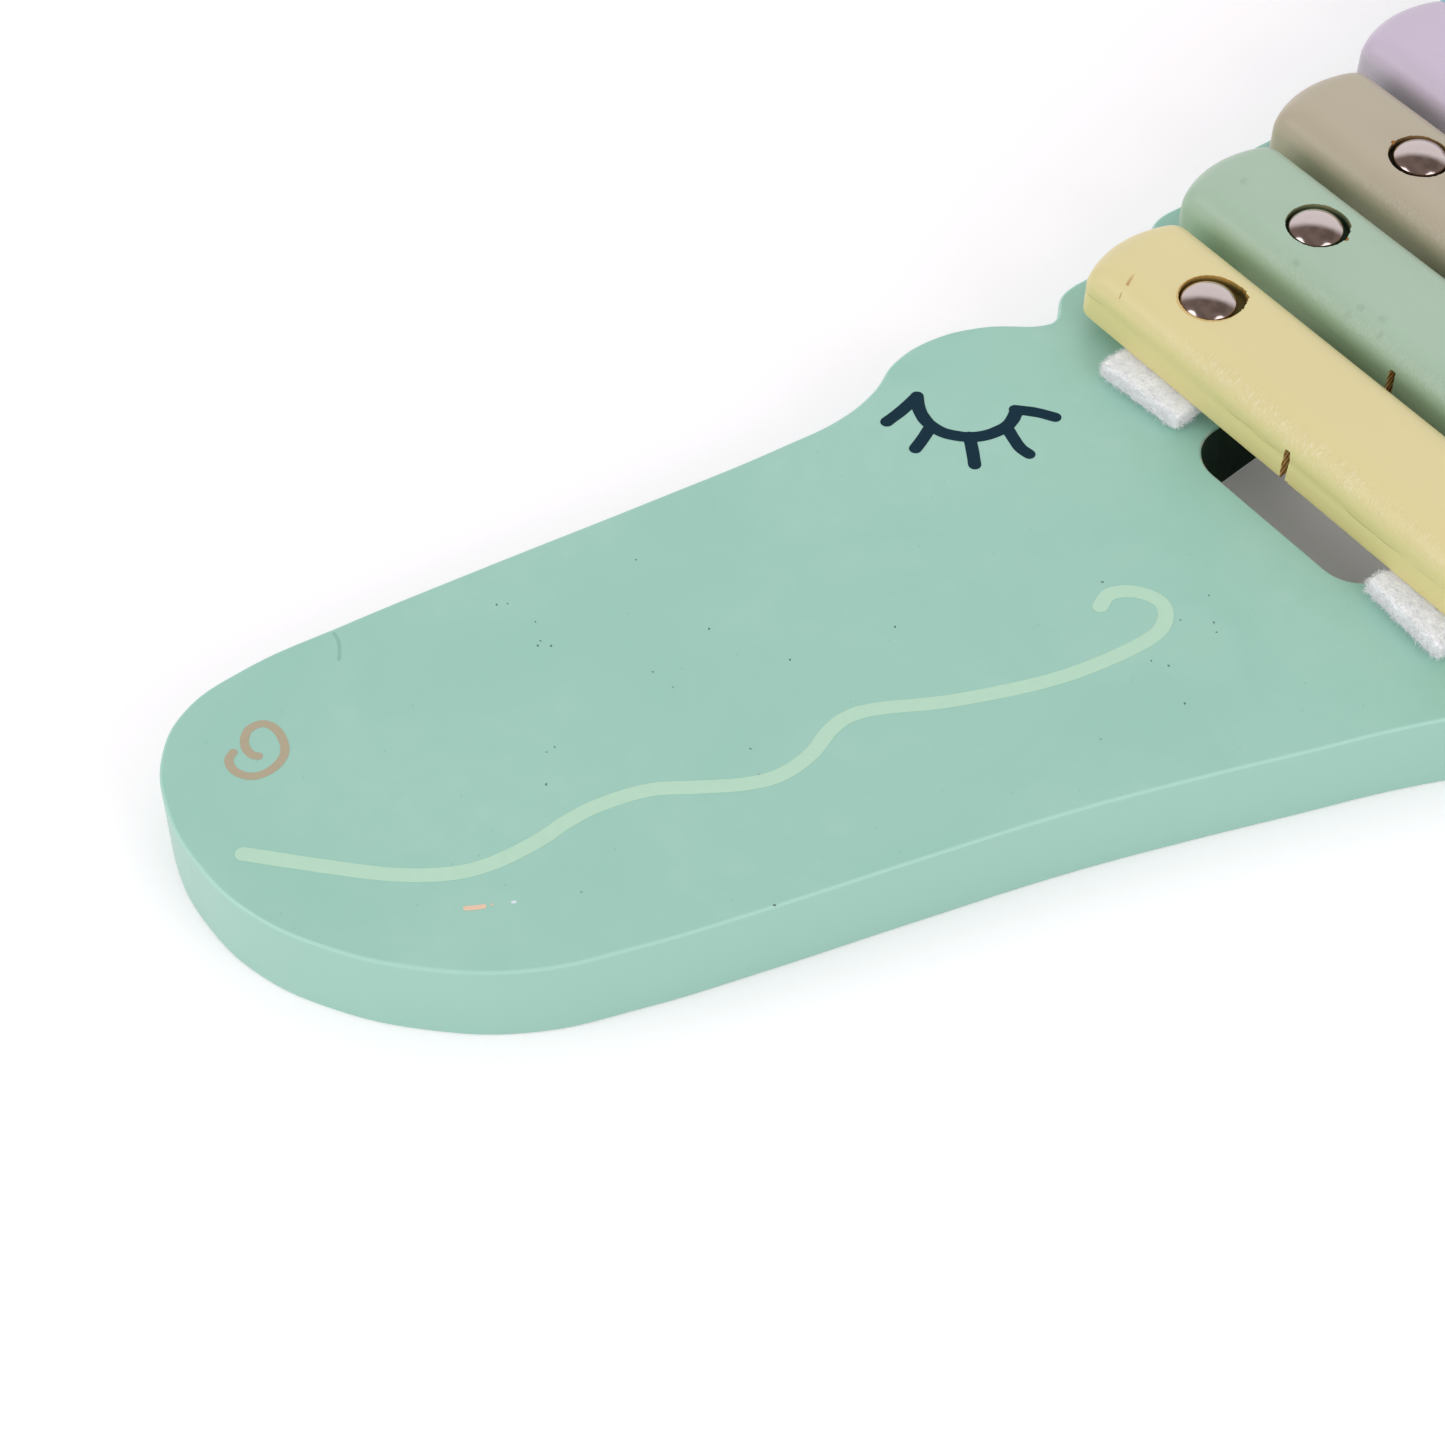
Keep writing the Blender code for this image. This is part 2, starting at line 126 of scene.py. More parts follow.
NOSTRIL = (
    (-0.2250, 0.0643), (-0.2262, 0.0635), (-0.2266, 0.0616), (-0.2257, 0.0596), (-0.2240, 0.0586),
    (-0.2217, 0.0586), (-0.2197, 0.0595), (-0.2185, 0.0611), (-0.2179, 0.0635), (-0.2182, 0.0654),
    (-0.2192, 0.0664), (-0.2210, 0.0665), (-0.2224, 0.0654), (-0.2231, 0.0640), (-0.2231, 0.0624),
    (-0.2225, 0.0616),
)
PEACH_FLECK = ((-0.2144, 0.0224), (-0.2133, 0.0217), (-0.2123, 0.0212))
FAINT_FLECK = ((-0.2113, 0.0208), (-0.2112, 0.0207))
WHITE_FLECK = ((-0.2088, 0.0194), (-0.2085, 0.01925))
SCUFF = ((-0.2016, 0.0742), (-0.2017, 0.0732), (-0.2023, 0.0717), (-0.2037, 0.0697))
DUST_SPECKS = (
    (-0.1797, 0.0645), (-0.1771, 0.0584), (-0.1795, 0.0545), (-0.1786, 0.0550), (-0.1780, 0.0533),
    (-0.1885, 0.0378), (-0.1934, 0.0331), (-0.1783, 0.0637), (-0.1522, 0.0304), (-0.1667, 0.0209),
    (-0.1579, 0.0421), (-0.1692, 0.0405), (-0.1063, 0.0144), (-0.1022, 0.0020), (-0.1095, -0.0034),
    (-0.1109, -0.0012), (-0.1125, -0.0100), (-0.0957, 0.0030), (-0.0987, -0.0013), (-0.0996, -0.0029),
    (-0.1362, 0.0261), (-0.1583, 0.0593), (-0.1808, -0.0025),
)

# Soft stains on a bar's top, and dents with the direction they were dragged: places, and radii in mm
STAINS = {
    "sage": (
        ((-0.0412, 0.0557, 0.0286), 1.3), ((-0.0472, 0.0379, 0.0280), 1.1), ((-0.0485, 0.0253, 0.0272), 1.3),
        ((-0.0478, 0.0190, 0.0274), 1.0), ((-0.0464, 0.0245, 0.0280), 0.9), ((-0.0455, 0.0205, 0.0280), 1.2),
    ),
}
DENTS = {
    "yellow": (((-0.0710, 0.0500, 0.0277), (-0.0693, 0.0506, 0.0281), 0.55),
               ((-0.0729, 0.0496, 0.0262), (-0.0722, 0.0499, 0.0268), 0.24)),
}

# One share for each bar: how far its saw cut lies off the middle, and how strong its groove, painted glints
# and torn fibres are
KERF_SHARES = (0.038, 0.080, 0.030, 0.012, 0.045, 0.020, -0.010, 0.025)
GROOVE_SHARES = (1.0, 0.35, 0.15, 0.3, 0.1, 0.2, 0.3, 0.15)
GLINT_SHARES = (1.0, 0.35, 0.08, 0.08, 0.1, 0.2, 0.1, 0.2)
TEAR_SHARES = (1.0, 0.5, 0.7, 0.3, 0.9, 0.4, 0.6, 0.8)
FAINT_CRACK_SHARE = 0.15
CRACK_WANDER = 4.2 * MILLIMETRE
BAR_SHIFT = 7.3

# By recess, two to a bar with the back one first: where the drill wandered, as mm and degrees, and the chips
# along the rim, each as degrees round the hole and a radius in mm
OVERRUNS = {0: (0.80, -30), 1: (0.3, 120), 2: (0.30, -30), 3: (0.25, 10), 4: (0.12, -60)}
RIM_CHIPS = {
    0: ((-62, 0.38), (-50, 0.45), (118, 0.22)), 1: ((60, 0.60),), 2: ((-74, 0.50),), 3: ((200, 0.45),),
    4: ((100, 0.40),), 7: ((-30, 0.60),), 8: ((30, 0.50),), 11: ((120, 0.55),), 12: ((-60, 0.60),),
    15: ((10, 0.45),),
}

RIGHT_ANGLE = math.pi / 2
RECESS_SIDES = 96
SAW_CUTS = 23
STROKE_STEPS = 6
STROKE_UNEVEN_SHARE = 0.035
CAP_STEPS = 10
FELT_LAYERS = 4

# Upward parts of a face's normal, by which faces are told apart, and where the eased edge counts as an arris
FACING_DOWN = -0.9
UNDERSIDE = -0.4
UPPER_SIDE = 0.5
SIDE_ON = 0.3
ARRIS_SHARES = (0.02, 0.95)

# A loose fibre: its slope in degrees with the usual one last, its bend in degrees, its twist in radians, its
# shortest and longest length as shares of the usual one, and its three-sided skin, which narrows at the bend
FIBRE_RISE = (4, 75, 24)
FIBRE_BEND = (-15, 45)
FIBRE_TWIST = (-0.8, 0.8)
FIBRE_LENGTH_SHARES = (0.35, 1.6)
FIBRE_SHAPE = ((1, 0), (-0.5, 0.87), (-0.5, -0.87))
FIBRE_FACES = ((2, 1, 0), (0, 1, 4, 3), (3, 4, 6), (1, 2, 5, 4), (4, 5, 6), (2, 0, 3, 5), (5, 3, 6))
BEND_SHARE = 0.8

SEEN_RAYS = ("Camera", "Glossy", "Transmission")
WHITE = (1.0, 1.0, 1.0)
BLACK = (0.0, 0.0, 0.0)
GLARE = (1.0, 1.0, 0.95)
WHITE_PAINT = (0.68, 0.76, 0.82)
ROOM_FOOT = -0.05
LAMP_AIM = Vector((-0.06, 0.03, 0.01))
SENSOR_WIDTH = 36


class Value:
    """A node's output that Python's operators reckon with. Each operator adds a Math node."""

    def __init__(self, look, socket):
        self.look = look
        self.socket = socket

    def __add__(self, other):
        return self.look.maths("ADD", self, other)

    def __sub__(self, other):
        return self.look.maths("SUBTRACT", self, other)

    def __rsub__(self, other):
        return self.look.maths("SUBTRACT", other, self)

    def __mul__(self, other):
        return self.look.maths("MULTIPLY", self, other)


class Look:
    """The nodes of one material, or of the world, with short ways to add more."""

    def __init__(self, name, world=False):
        self.owner = (bpy.data.worlds if world else bpy.data.materials).new(name)
        self.owner.use_nodes = True
        self.tree = self.owner.node_tree
        self.shader = self.tree.nodes["Background" if world else "Principled BSDF"]
        self.place = None if world else self.value("TexCoord", output="Object")

    def node(self, kind, settings=None, values=None):
        """Adds a node. Its settings come first, then its sockets' values or links."""
        made = self.tree.nodes.new("ShaderNode" + kind)
        for name, setting in (settings or {}).items():
            setattr(made, name, setting)
        for name, value in (values or {}).items():
            self.feed(made.inputs[name], value)
        return made

    def value(self, kind, settings=None, values=None, output=0):
        """Adds a node, and returns one of its outputs."""
        return Value(self, self.node(kind, settings, values).outputs[output])

    def feed(self, socket, value):
        if isinstance(value, Value):
            self.tree.links.new(value.socket, socket)
        elif isinstance(value, tuple) and len(value) == 3 and len(socket.default_value) == 4:
            socket.default_value = (*value, 1)
        else:
            socket.default_value = value

    def maths(self, operation, *values):
        return self.value("Math", {"operation": operation}, dict(enumerate(values)))

    def axis(self, number):
        """One of the object coordinates as a number of its own."""
        return self.value("SeparateXYZ", None, {0: self.place}, number)

    def stretched(self, x, y, z, turn=0.0, shift=0.0):
        """Object coordinates times a scale along each axis, after a turn about Z, and then moved."""
        values = {"Rotation": (0, 0, turn), "Scale": (x, y, z), "Location": (shift, shift, shift)}
        return self.value("Mapping", None, {"Vector": self.place, **values})

    def noise(self, scale, detail=2.0, rough=0.5, place=None, warp=0.0):
        values = {"Scale": scale, "Detail": detail, "Roughness": rough, "Distortion": warp}
        return self.value("TexNoise", None, {"Vector": place or self.place, **values})

    def spots(self, scale, radius, share, place=None):
        """Round spots, seen from above: 1 inside and 0 outside, on a share of a scatter of points."""
        values = {"Vector": place or self.place, "Scale": scale}
        made = self.node("TexVoronoi", {"voronoi_dimensions": "2D"}, values)
        own = self.value("SeparateColor", None, {0: Value(self, made.outputs["Color"])})
        inside = 1 - self.step(Value(self, made.outputs["Distance"]), radius * 0.6, radius)
        return inside * self.step(own, 1 - share, 1 - share + 0.001)

    def distance(self, point):
        return self.value("VectorMath", {"operation": "DISTANCE"}, {0: self.place, 1: point}, "Value")

    def near(self, point, radius):
        """1 at a point and 0 further from it than the radius."""
        return 1 - self.step(self.distance(point), radius * 0.35, radius)

    def step(self, value, low, high):
        """0 below one value and 1 above the other, with a smooth rise between them."""
        values = {"Value": value, "From Min": low, "From Max": high}
        return self.value("MapRange", {"interpolation_type": "SMOOTHSTEP"}, values)

    def mix(self, mask, first, second):
        return self.value("Mix", {"data_type": "RGBA"}, {0: mask, 6: first, 7: second}, 2)

    def attribute(self, name):
        return self.value("Attribute", {"attribute_name": name}, output="Fac")

    def bump(self, height, distance, strength=1.0, below=None):
        values = {"Height": height, "Distance": distance, "Strength": strength}
        if below:
            values["Normal"] = below
        return self.value("Bump", None, values)

    def seen(self):
        """1 for rays from the eye, in gloss and through glass, and 0 for the rays that light the toy."""
        path = self.node("LightPath")
        eye, gloss, glass = (Value(self, path.outputs["Is %s Ray" % kind]) for kind in SEEN_RAYS)
        return self.maths("MAXIMUM", self.maths("MAXIMUM", eye, gloss), glass)

    def finish(self, **sockets):
        """Sets the shader's own sockets, and returns the material."""
        for name, value in sockets.items():
            socket = {"specular": "Specular IOR Level"}.get(name, name.replace("_", " ").title())
            self.feed(self.shader.inputs[socket], value)
        return self.owner


def scaled(colour, factor):
    return tuple(channel * factor for channel in colour)


def blended(first, second, share):
    return tuple(a * (1 - share) + b * share for a, b in zip(first, second))


def tinted(colour, tint):
    return tuple(channel * part for channel, part in zip(colour, tint))


def clamped(value, low, high):
    return min(max(value, low), high)


def middle_of(node):
    low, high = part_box(node)
    return (low + high) / 2


def pebbled(look):
    """The fine pebbled skin of sprayed paint, and of ink over it."""
    return look.bump(look.noise(2100), 0.02 * MILLIMETRE, 0.35)


def board_paint(settings):
    """Matt sprayed paint: soft clouding, a fine pebbled skin, a few specks of dust and worn arrises at the
    opening.
    A painted highlight runs along the outline's arris, and a painted reflection greys the cut sides.
    """
    look = Look("sea green board paint")
    colour = tuple(settings.paint)
    faded = scaled(colour, 0.975)
    cloud = look.step(look.noise(34, 3, 0.55, None, 0.6), 0.36, 0.66)
    paint = look.mix(cloud, faded, blended(colour, settings.haze, 0.16))
    mottle = look.step(look.noise(240, 3, 0.6), 0.30, 0.70)
    paint = look.mix(mottle * 0.5, paint, faded)
    # Painted reflection: the cut sides are tinted greyer, standing in for the pale floor's glancing
    # reflection on them
    side = look.step(BOARD_TOP - look.axis(2), 0.4 * MILLIMETRE, 1.2 * MILLIMETRE)
    paint = look.mix(side * 0.85, paint, tinted(colour, settings.side_sheen_tint))
    for scale, radius, strength, shade in ((95, 0.022, 0.6, 0.35), (260, 0.05, 0.3, 0.55)):
        paint = look.mix(look.spots(scale, radius, 0.06) * strength, paint, scaled(colour, shade))
    # Painted highlight: a pale line along the outline's eased top edge, where light catches it
    paint = look.mix(look.attribute("arris"), paint, blended(colour, settings.highlit, 0.35))
    worn = look.attribute("worn") * look.step(look.noise(700, 3, 0.7), 0.44, 0.58)
    paint = look.mix(worn * 0.6, paint, tuple(settings.bare_edge))
    skin = look.bump(look.noise(150), 0.05 * MILLIMETRE, 0.35, pebbled(look))
    roughness = look.noise(420) * 0.08 + 0.42
    return look.finish(base_color=paint, roughness=roughness, normal=skin, specular=settings.sheen,
                       sheen_weight=settings.dusty, sheen_roughness=0.35)


def slot_shade_paint(settings):
    """Painted shade: dark paint on the opening's cut wall, standing in for the shade that falls there."""
    look = Look("soaked paint in the opening")
    colour = tuple(settings.slot_painted_shade)
    streak = look.noise(1, 3, 0.6, look.stretched(900, 900, 90))
    wall = look.mix(streak, scaled(colour, 0.7), scaled(colour, 1.3))
    rough = look.bump(look.noise(1400, 3, 0.6), 0.08 * MILLIMETRE, 0.6)
    return look.finish(base_color=wall, roughness=0.7, normal=rough, specular=0.12)


def ink(name, colour, specular=0.3):
    """Screen printed ink, a little uneven where it took to the paint below."""
    look = Look(name)
    tone = look.mix(look.noise(650, 3, 0.6), scaled(colour, 0.95), scaled(colour, 1.04))
    return look.finish(base_color=tone, roughness=0.5, normal=pebbled(look), specular=specular)


def side_crack(look, number, settings):
    """A fine broken crack along the groove in a bar's side: 1 in the crack and 0 beside it."""
    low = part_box("bar_" + COLOURS[number])[0]
    shift = BAR_SHIFT * number
    wander = look.noise(1, 3, 0.6, look.stretched(1, 52, 1, 0, shift)) * CRACK_WANDER - CRACK_WANDER / 2
    height = look.axis(2) - (low.z + settings.groove_height) + wander
    line = 1 - look.step(look.maths("ABSOLUTE", height), 0.04 * MILLIMETRE, 0.18 * MILLIMETRE)
    on_side = 1 - look.step(look.axis(0), low.x + 0.4 * MILLIMETRE, low.x + 1.2 * MILLIMETRE)
    part = look.step(look.noise(1, 2, 0.5, look.stretched(1, 60, 1, 0, shift + 3)), 0.46, 0.56)
    return line * on_side * part * (1.0 if number == 0 else FAINT_CRACK_SHARE)


def stains(look, number):
    """Where a bar's top is stained: small scattered spots, and its own larger blots."""
    stain = look.spots(75, 0.10, 0.05, look.stretched(1, 1, 1, 0.4, BAR_SHIFT * number)) * look.noise(1500)
    for place, radius in STAINS.get(COLOURS[number], ()):
        blot = look.near(place, radius * MILLIMETRE) * look.step(look.noise(1100, 3, 0.7), 0.30, 0.62)
        stain = look.maths("MAXIMUM", stain, blot)
    return stain


def dented(look, paint, number, settings):
    """Shows bare wood through the paint where something was dragged over the bar's edge."""
    for first, last, radius in DENTS.get(COLOURS[number], ()):
        for share in (0.0, 0.25, 0.5, 0.75, 1.0):
            size = radius * (1 - 0.4 * abs(share - 0.6)) * MILLIMETRE
            dent = look.near(blended(first, last, share), size) * look.step(look.noise(2600), 0.22, 0.44)
            paint = look.mix(dent * 0.8, paint, tuple(settings.dent))
    return paint


def wrinkles_and_glints(look, flank, number):
    """Where the paint wrinkles and its painted glints go: the snout-side rounding, away from the bar's ends.
    """
    low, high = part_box("bar_" + COLOURS[number])
    curved = look.step(flank, 0.06, 0.22) * (1 - look.step(flank, 0.50, 0.85))
    half = (high.y - low.y) / 2
    from_middle = look.maths("ABSOLUTE", look.axis(1) - (low.y + high.y) / 2)
    inward = 1 - look.step(from_middle, half - 32 * MILLIMETRE, half - 12 * MILLIMETRE)
    snout_side = 1 - look.step(look.axis(0), low.x + 6 * MILLIMETRE, low.x + 12 * MILLIMETRE)
    return curved * inward * snout_side


def torn_rim(look, settings):
    """A ragged ring of torn wood round the first recess."""
    nail = middle_of("nail_yellow_back")
    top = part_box("bar_yellow")[1].z
    ragged = look.noise(900, 3, 0.7) * (0.6 * MILLIMETRE)
    away = look.distance((nail.x + 0.2 * MILLIMETRE, nail.y, top)) + ragged
    edge = settings.recess_radius + 0.45 * MILLIMETRE
    return 1 - look.step(away, edge, edge + 0.15 * MILLIMETRE)


def bar_paint(number, settings):
    """Satin paint over planed wood: fine wrinkles, checks along the grain and a few soft stains.
    Painted shade and bounced light tint the sides, and painted glints sit on the wrinkles.
    """
    name = COLOURS[number]
    look = Look(name + " bar paint")
    colour = tuple(getattr(settings, name))
    flank = look.attribute("flank")
    cloud = look.step(look.noise(55, 3, 0.6, look.stretched(1, 0.4, 1, 0, number)), 0.32, 0.68)
    paint = look.mix(cloud, scaled(colour, 0.975), scaled(colour, 1.02))
    crack = side_crack(look, number, settings)
    paint = look.mix(crack * 0.34, paint, scaled(colour, 0.45))
    # Painted light on the sides: the first bar's turn greener as painted bounce from the board, the others'
    # darker and greener as painted shade between the bars
    tint = settings.first_side_bounce_tint if number == 0 else settings.other_sides_shade_tint
    paint = look.mix(look.step(flank, 0.35, 1.0) * 0.8, paint, tinted(colour, tint))
    grain = look.noise(1, 4, 0.65, look.stretched(950, 26, 950), 0.4)
    check = look.step(grain, 0.68, 0.78) * look.step(flank, 0.6, 1.0)
    paint = look.mix(check * 0.12, paint, scaled(colour, 0.6))
    paint = look.mix(stains(look, number) * 0.24, paint, scaled(colour, 0.45))
    paint = dented(look, paint, number, settings)
    ripple = look.noise(1, 2, 0.5, look.stretched(1050, 3000, 1050, 0.2), 0.9)
    rounding = wrinkles_and_glints(look, flank, number)
    # Painted highlight: pale glints painted on the wrinkles' crests along the rounding
    painted_glint_mask = look.step(ripple, 0.52, 0.66) * rounding * look.step(look.noise(90), 0.20, 0.50)
    paint = look.mix(painted_glint_mask * settings.glint * GLINT_SHARES[number], paint, blended(colour, GLARE, 0.5))
    if number == 0:
        paint = look.mix(torn_rim(look, settings) * 0.75, paint, tuple(settings.torn_rim))
    skin = look.bump(ripple * (rounding * settings.wrinkle + 0.03), 0.14 * MILLIMETRE)
    skin = look.bump(look.noise(900, 1, 0.5, None, 0.5), 0.03 * MILLIMETRE, 0.25, skin)
    skin = look.bump(look.noise(160), 0.1 * MILLIMETRE, 0.4, skin)
    skin = look.bump(1 - crack, 0.2 * MILLIMETRE, 0.6, skin)
    roughness = look.noise(500) * 0.08 + 0.28
    return look.finish(base_color=paint, roughness=roughness, normal=skin, specular=settings.sheen)


def recess_shade_paint(name, colour, settings):
    """The bar's paint in a recess, darkened: partly paint taken into the end grain and partly painted shade,
    which grows darker deeper down.
    """
    look = Look(name + " soaked recess")
    shaded = scaled(tinted(colour, colour), settings.soak)
    fibre = look.noise(1, 3, 0.65, look.stretched(1500, 300, 1500))
    wood_share = 0.75 if name == "yellow" else 0.35
    tone = look.mix(fibre, scaled(shaded, 0.7), blended(shaded, tuple(settings.wood), wood_share))
    # Painted shade: the wall darkens towards the recess's floor
    depth = look.step(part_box("bar_" + name)[1].z - look.axis(2), 0.1 * MILLIMETRE, 1.1 * MILLIMETRE)
    tone = look.mix(depth, tone, scaled(shaded, 0.25))
    rough = look.bump(fibre, 0.1 * MILLIMETRE, 0.7)
    return look.finish(base_color=tone, roughness=0.7, normal=rough, specular=0.2)


def bare_wood(name, colour, settings):
    """Sawn wood with a little of the bar's paint in it, and the slanting marks of the saw's teeth."""
    look = Look(name + " bar sawn wood")
    dark = blended(tuple(settings.wood), colour, settings.paint_in_cuts)
    pale = blended(tuple(settings.torn_wood), colour, settings.paint_in_cuts)
    fibre = look.noise(1, 4, 0.65, look.stretched(1500, 260, 1500))
    values = {"Vector": look.stretched(-1, 0.2, 1), "Scale": 420, "Distortion": 3.0, "Detail Scale": 2.0}
    marks = look.value("TexWave", {"wave_type": "BANDS", "bands_direction": "DIAGONAL"}, values, "Fac")
    tooth = look.step(marks + fibre, 0.92, 1.16)
    tone = look.mix(tooth, scaled(dark, 0.55), pale)
    rough = look.bump(fibre + tooth, 0.15 * MILLIMETRE, 0.8)
    return look.finish(base_color=tone, roughness=0.8, normal=rough, specular=0.2)


def felt_wool(settings):
    """Pressed white wool: fibres lie every way, and the hollows between them are painted greyer as shade.
    It also glows faintly, as painted light for the light scattered among its fibres.
    """
    look = Look("pressed white felt")
    colour = tuple(settings.wool)
    hair = look.noise(1, 4, 0.7, look.stretched(2600, 900, 1500, 0.5), 1.2)
    cross = look.noise(1, 4, 0.7, look.stretched(800, 2700, 1500, -0.4), 1.2)
    depth = look.maths("MAXIMUM", hair, cross)
    # Painted shade: the hollows between the fibres are greyer
    tone = look.mix(look.step(depth, 0.46, 0.66), scaled(colour, 0.88), colour)
    fuzz = look.bump(depth, 0.25 * MILLIMETRE, 0.8)
    # The wool glows: painted light that stands in for light scattered among the fibres
    return look.finish(base_color=tone, roughness=0.96, normal=fuzz, specular=0.1, sheen_weight=0.3,
                       emission_color=colour, emission_strength=settings.glow)


def nickel_plate(settings):
    """Polished nickel with a soft haze and a few fine scuffs."""
    look = Look("polished nickel")
    colour = tuple(settings.plate)
    haze = look.noise(500, 3, 0.6)
    tone = look.mix(haze, scaled(colour, 0.96), scaled(colour, 1.03))
    tone = look.mix(look.spots(900, 0.10, 0.05) * 0.5, tone, scaled(colour, 0.5))
    scuff = look.step(look.noise(1, 2, 0.5, look.stretched(600, 5200, 600, 0.7), 0.5), 0.64, 0.72)
    skin = look.bump(look.noise(900), 0.01 * MILLIMETRE, 0.35)
    roughness = haze * 0.06 + scuff * 0.08 + 0.10
    return look.finish(base_color=tone, metallic=1.0, roughness=roughness, normal=skin)


def start():
    """Leaves nothing selected, so that the next primitive is the only thing an operator acts on."""
    if bpy.context.mode != "OBJECT":
        bpy.ops.object.mode_set(mode="OBJECT")
    bpy.ops.object.select_all(action="DESELECT")


def take(obj):
    """Selects one object alone, and makes it the one that operators act on."""
    start()
    bpy.context.view_layer.objects.active = obj
    obj.select_set(True)


def named(name):
    """Names the primitive that was just added, and its mesh."""
    made = bpy.context.object
    made.name = name
    made.data.name = name
    return made


def dress(obj, *materials):
    """Gives an object these materials, in place of any that it had."""
    obj.data.materials.clear()
    for material in materials:
        obj.data.materials.append(material)


def edit(obj):
    """Opens an object alone in edit mode, with every face of it selected."""
    take(obj)
    bpy.ops.object.mode_set(mode="EDIT")
    bpy.ops.mesh.select_mode(type="FACE")
    bpy.ops.mesh.select_all(action="SELECT")


def choose(obj, what, test):
    """Selects the faces, edges or points for which the test holds, in edit mode."""
    bpy.ops.mesh.select_all(action="DESELECT")
    work = bmesh.from_edit_mesh(obj.data)
    for element in getattr(work, what):
        if test(element):
            element.select_set(True)
    bmesh.update_edit_mesh(obj.data)


def leave():
    bpy.ops.object.mode_set(mode="OBJECT")


def close_up():
    """Turns every face outwards, and leaves edit mode."""
    bpy.ops.mesh.select_all(action="SELECT")
    bpy.ops.mesh.normals_make_consistent(inside=False)
    leave()


def draw_out(rise):
    """Extrudes what is selected, straight up or down."""
    bpy.ops.mesh.extrude_region_move(TRANSFORM_OT_translate={"value": (0, 0, rise)})


def settle(obj):
    """Puts a mesh's points and faces in order of place, which extruding leaves different from run to run."""
    mesh = obj.data
    order = sorted(mesh.vertices, key=lambda vertex: tuple(vertex.co))
    rank = {vertex.index: number for number, vertex in enumerate(order)}
    points = [tuple(vertex.co) for vertex in order]
    faces = []
    for face in mesh.polygons:
        corners = [rank[number] for number in face.vertices]
        first = corners.index(min(corners))
        faces.append(corners[first:] + corners[:first])
    mesh.clear_geometry()
    mesh.from_pydata(points, [], sorted(faces))


def apply_all(obj):
    """Applies the modifiers in order, then puts the object's place into its mesh."""
    take(obj)
    for modifier in list(obj.modifiers):
        bpy.ops.object.modifier_apply(modifier=modifier.name)
    bpy.ops.object.transform_apply(location=True, rotation=True, scale=True)


def smooth(obj, angle):
    """Smooth shading, with edges where faces meet at more than the angle, and flat faces kept flat."""
    take(obj)
    bpy.ops.object.shade_smooth_by_angle(angle=math.radians(angle))
    even = obj.modifiers.new("even", "WEIGHTED_NORMAL")
    even.keep_sharp = True
    even.weight = 100
    apply_all(obj)


def arc(centre, radius, start_angle, end_angle, steps):
    """Points on an arc, both ends included."""
    angles = [start_angle + (end_angle - start_angle) * number / steps for number in range(steps + 1)]
    return [(centre[0] + radius * math.cos(angle), centre[1] + radius * math.sin(angle)) for angle in angles]


def crest_y(position):
    """Height of the back over the row's middle, between the scutes whose numbers lie on each side."""
    number = clamped(math.floor(position), 0, len(CREST_SHARES) - 2)
    near, far = CREST_SHARES[number:number + 2]
    return BACK_HEIGHT * (near + (far - near) * (position - number))


def board_outline():
    """The crocodile's outline from the throat round the snout, back, tail, feet and belly."""
    slot_end = HEAD_LENGTH + SLOT_LENGTH
    points = [(x * HEAD_LENGTH, y * HEAD_WIDTH) for x, y in HEAD_SHARES]
    for number in range(len(CREST_SHARES)):
        for x, y in SCUTE_SHARES:
            along = HEAD_LENGTH + SCUTES_TO_SLOT + (number + x) * SCUTE_PITCH
            points.append((along, crest_y(number + x - CREST_SHARE) - (1 - y) * SCUTE_RISE))
    points += [(slot_end + x * TAIL_LENGTH, y * BELLY_DEPTH) for x, y in TAIL_SHARES]
    points += [(HEAD_LENGTH + x * SLOT_LENGTH, y * BELLY_DEPTH) for x, y in BELLY_SHARES]
    return points


def slot_outline(steps):
    """The opening's outline: wider towards the tail, with rounded corners."""
    front, back = HEAD_LENGTH + SLOT_CORNER, HEAD_LENGTH + SLOT_LENGTH - SLOT_CORNER
    near, far = (width - SLOT_CORNER for width in SLOT_HALF_WIDTHS)
    lean = math.atan2(far - near, back - front)
    points = arc((front, -near - FRONT_SLOT_REACH), SLOT_CORNER, -math.pi, -RIGHT_ANGLE - lean, steps)
    points += arc((back, -far - FRONT_SLOT_REACH), SLOT_CORNER, -RIGHT_ANGLE - lean, 0, steps)
    points += arc((back, far), SLOT_CORNER, 0, RIGHT_ANGLE + lean, steps)
    points += arc((front, near), SLOT_CORNER, RIGHT_ANGLE + lean, math.pi, steps)
    return points


def in_slot(co, margin):
    """Whether a point of the finished board lies within the opening, widened by a margin."""
    x = co[0] - SNOUT_X - HEAD_LENGTH
    y = co[1] - ROW_Y
    near, far = SLOT_HALF_WIDTHS
    half = near + (far - near) * x / SLOT_LENGTH + margin
    return -margin < x < SLOT_LENGTH + margin and -half - FRONT_SLOT_REACH < y < half


def flat_curve(name, location, half_thickness):
    """A flat filled curve with no loop in it yet."""
    start()
    bpy.ops.curve.primitive_bezier_circle_add(location=location)
    piece = named(name)
    piece.data.splines.clear()
    piece.data.dimensions = "2D"
    piece.data.fill_mode = "BOTH"
    piece.data.extrude = half_thickness
    return piece


def add_loop(piece, points):
    """Adds a closed loop of straight steps to a flat curve."""
    loop = piece.data.splines.new("POLY")
    loop.points.add(len(points) - 1)
    for point, (x, y) in zip(loop.points, points):
        point.co = (x, y, 0, 1)
    loop.use_cyclic_u = True


def cut_out(piece):
    """Turns a flat curve into a closed mesh in its place."""
    take(piece)
    bpy.ops.object.convert(target="MESH")
    edit(piece)
    bpy.ops.mesh.remove_doubles(threshold=MILLIMETRE / 1000)
    close_up()
    apply_all(piece)


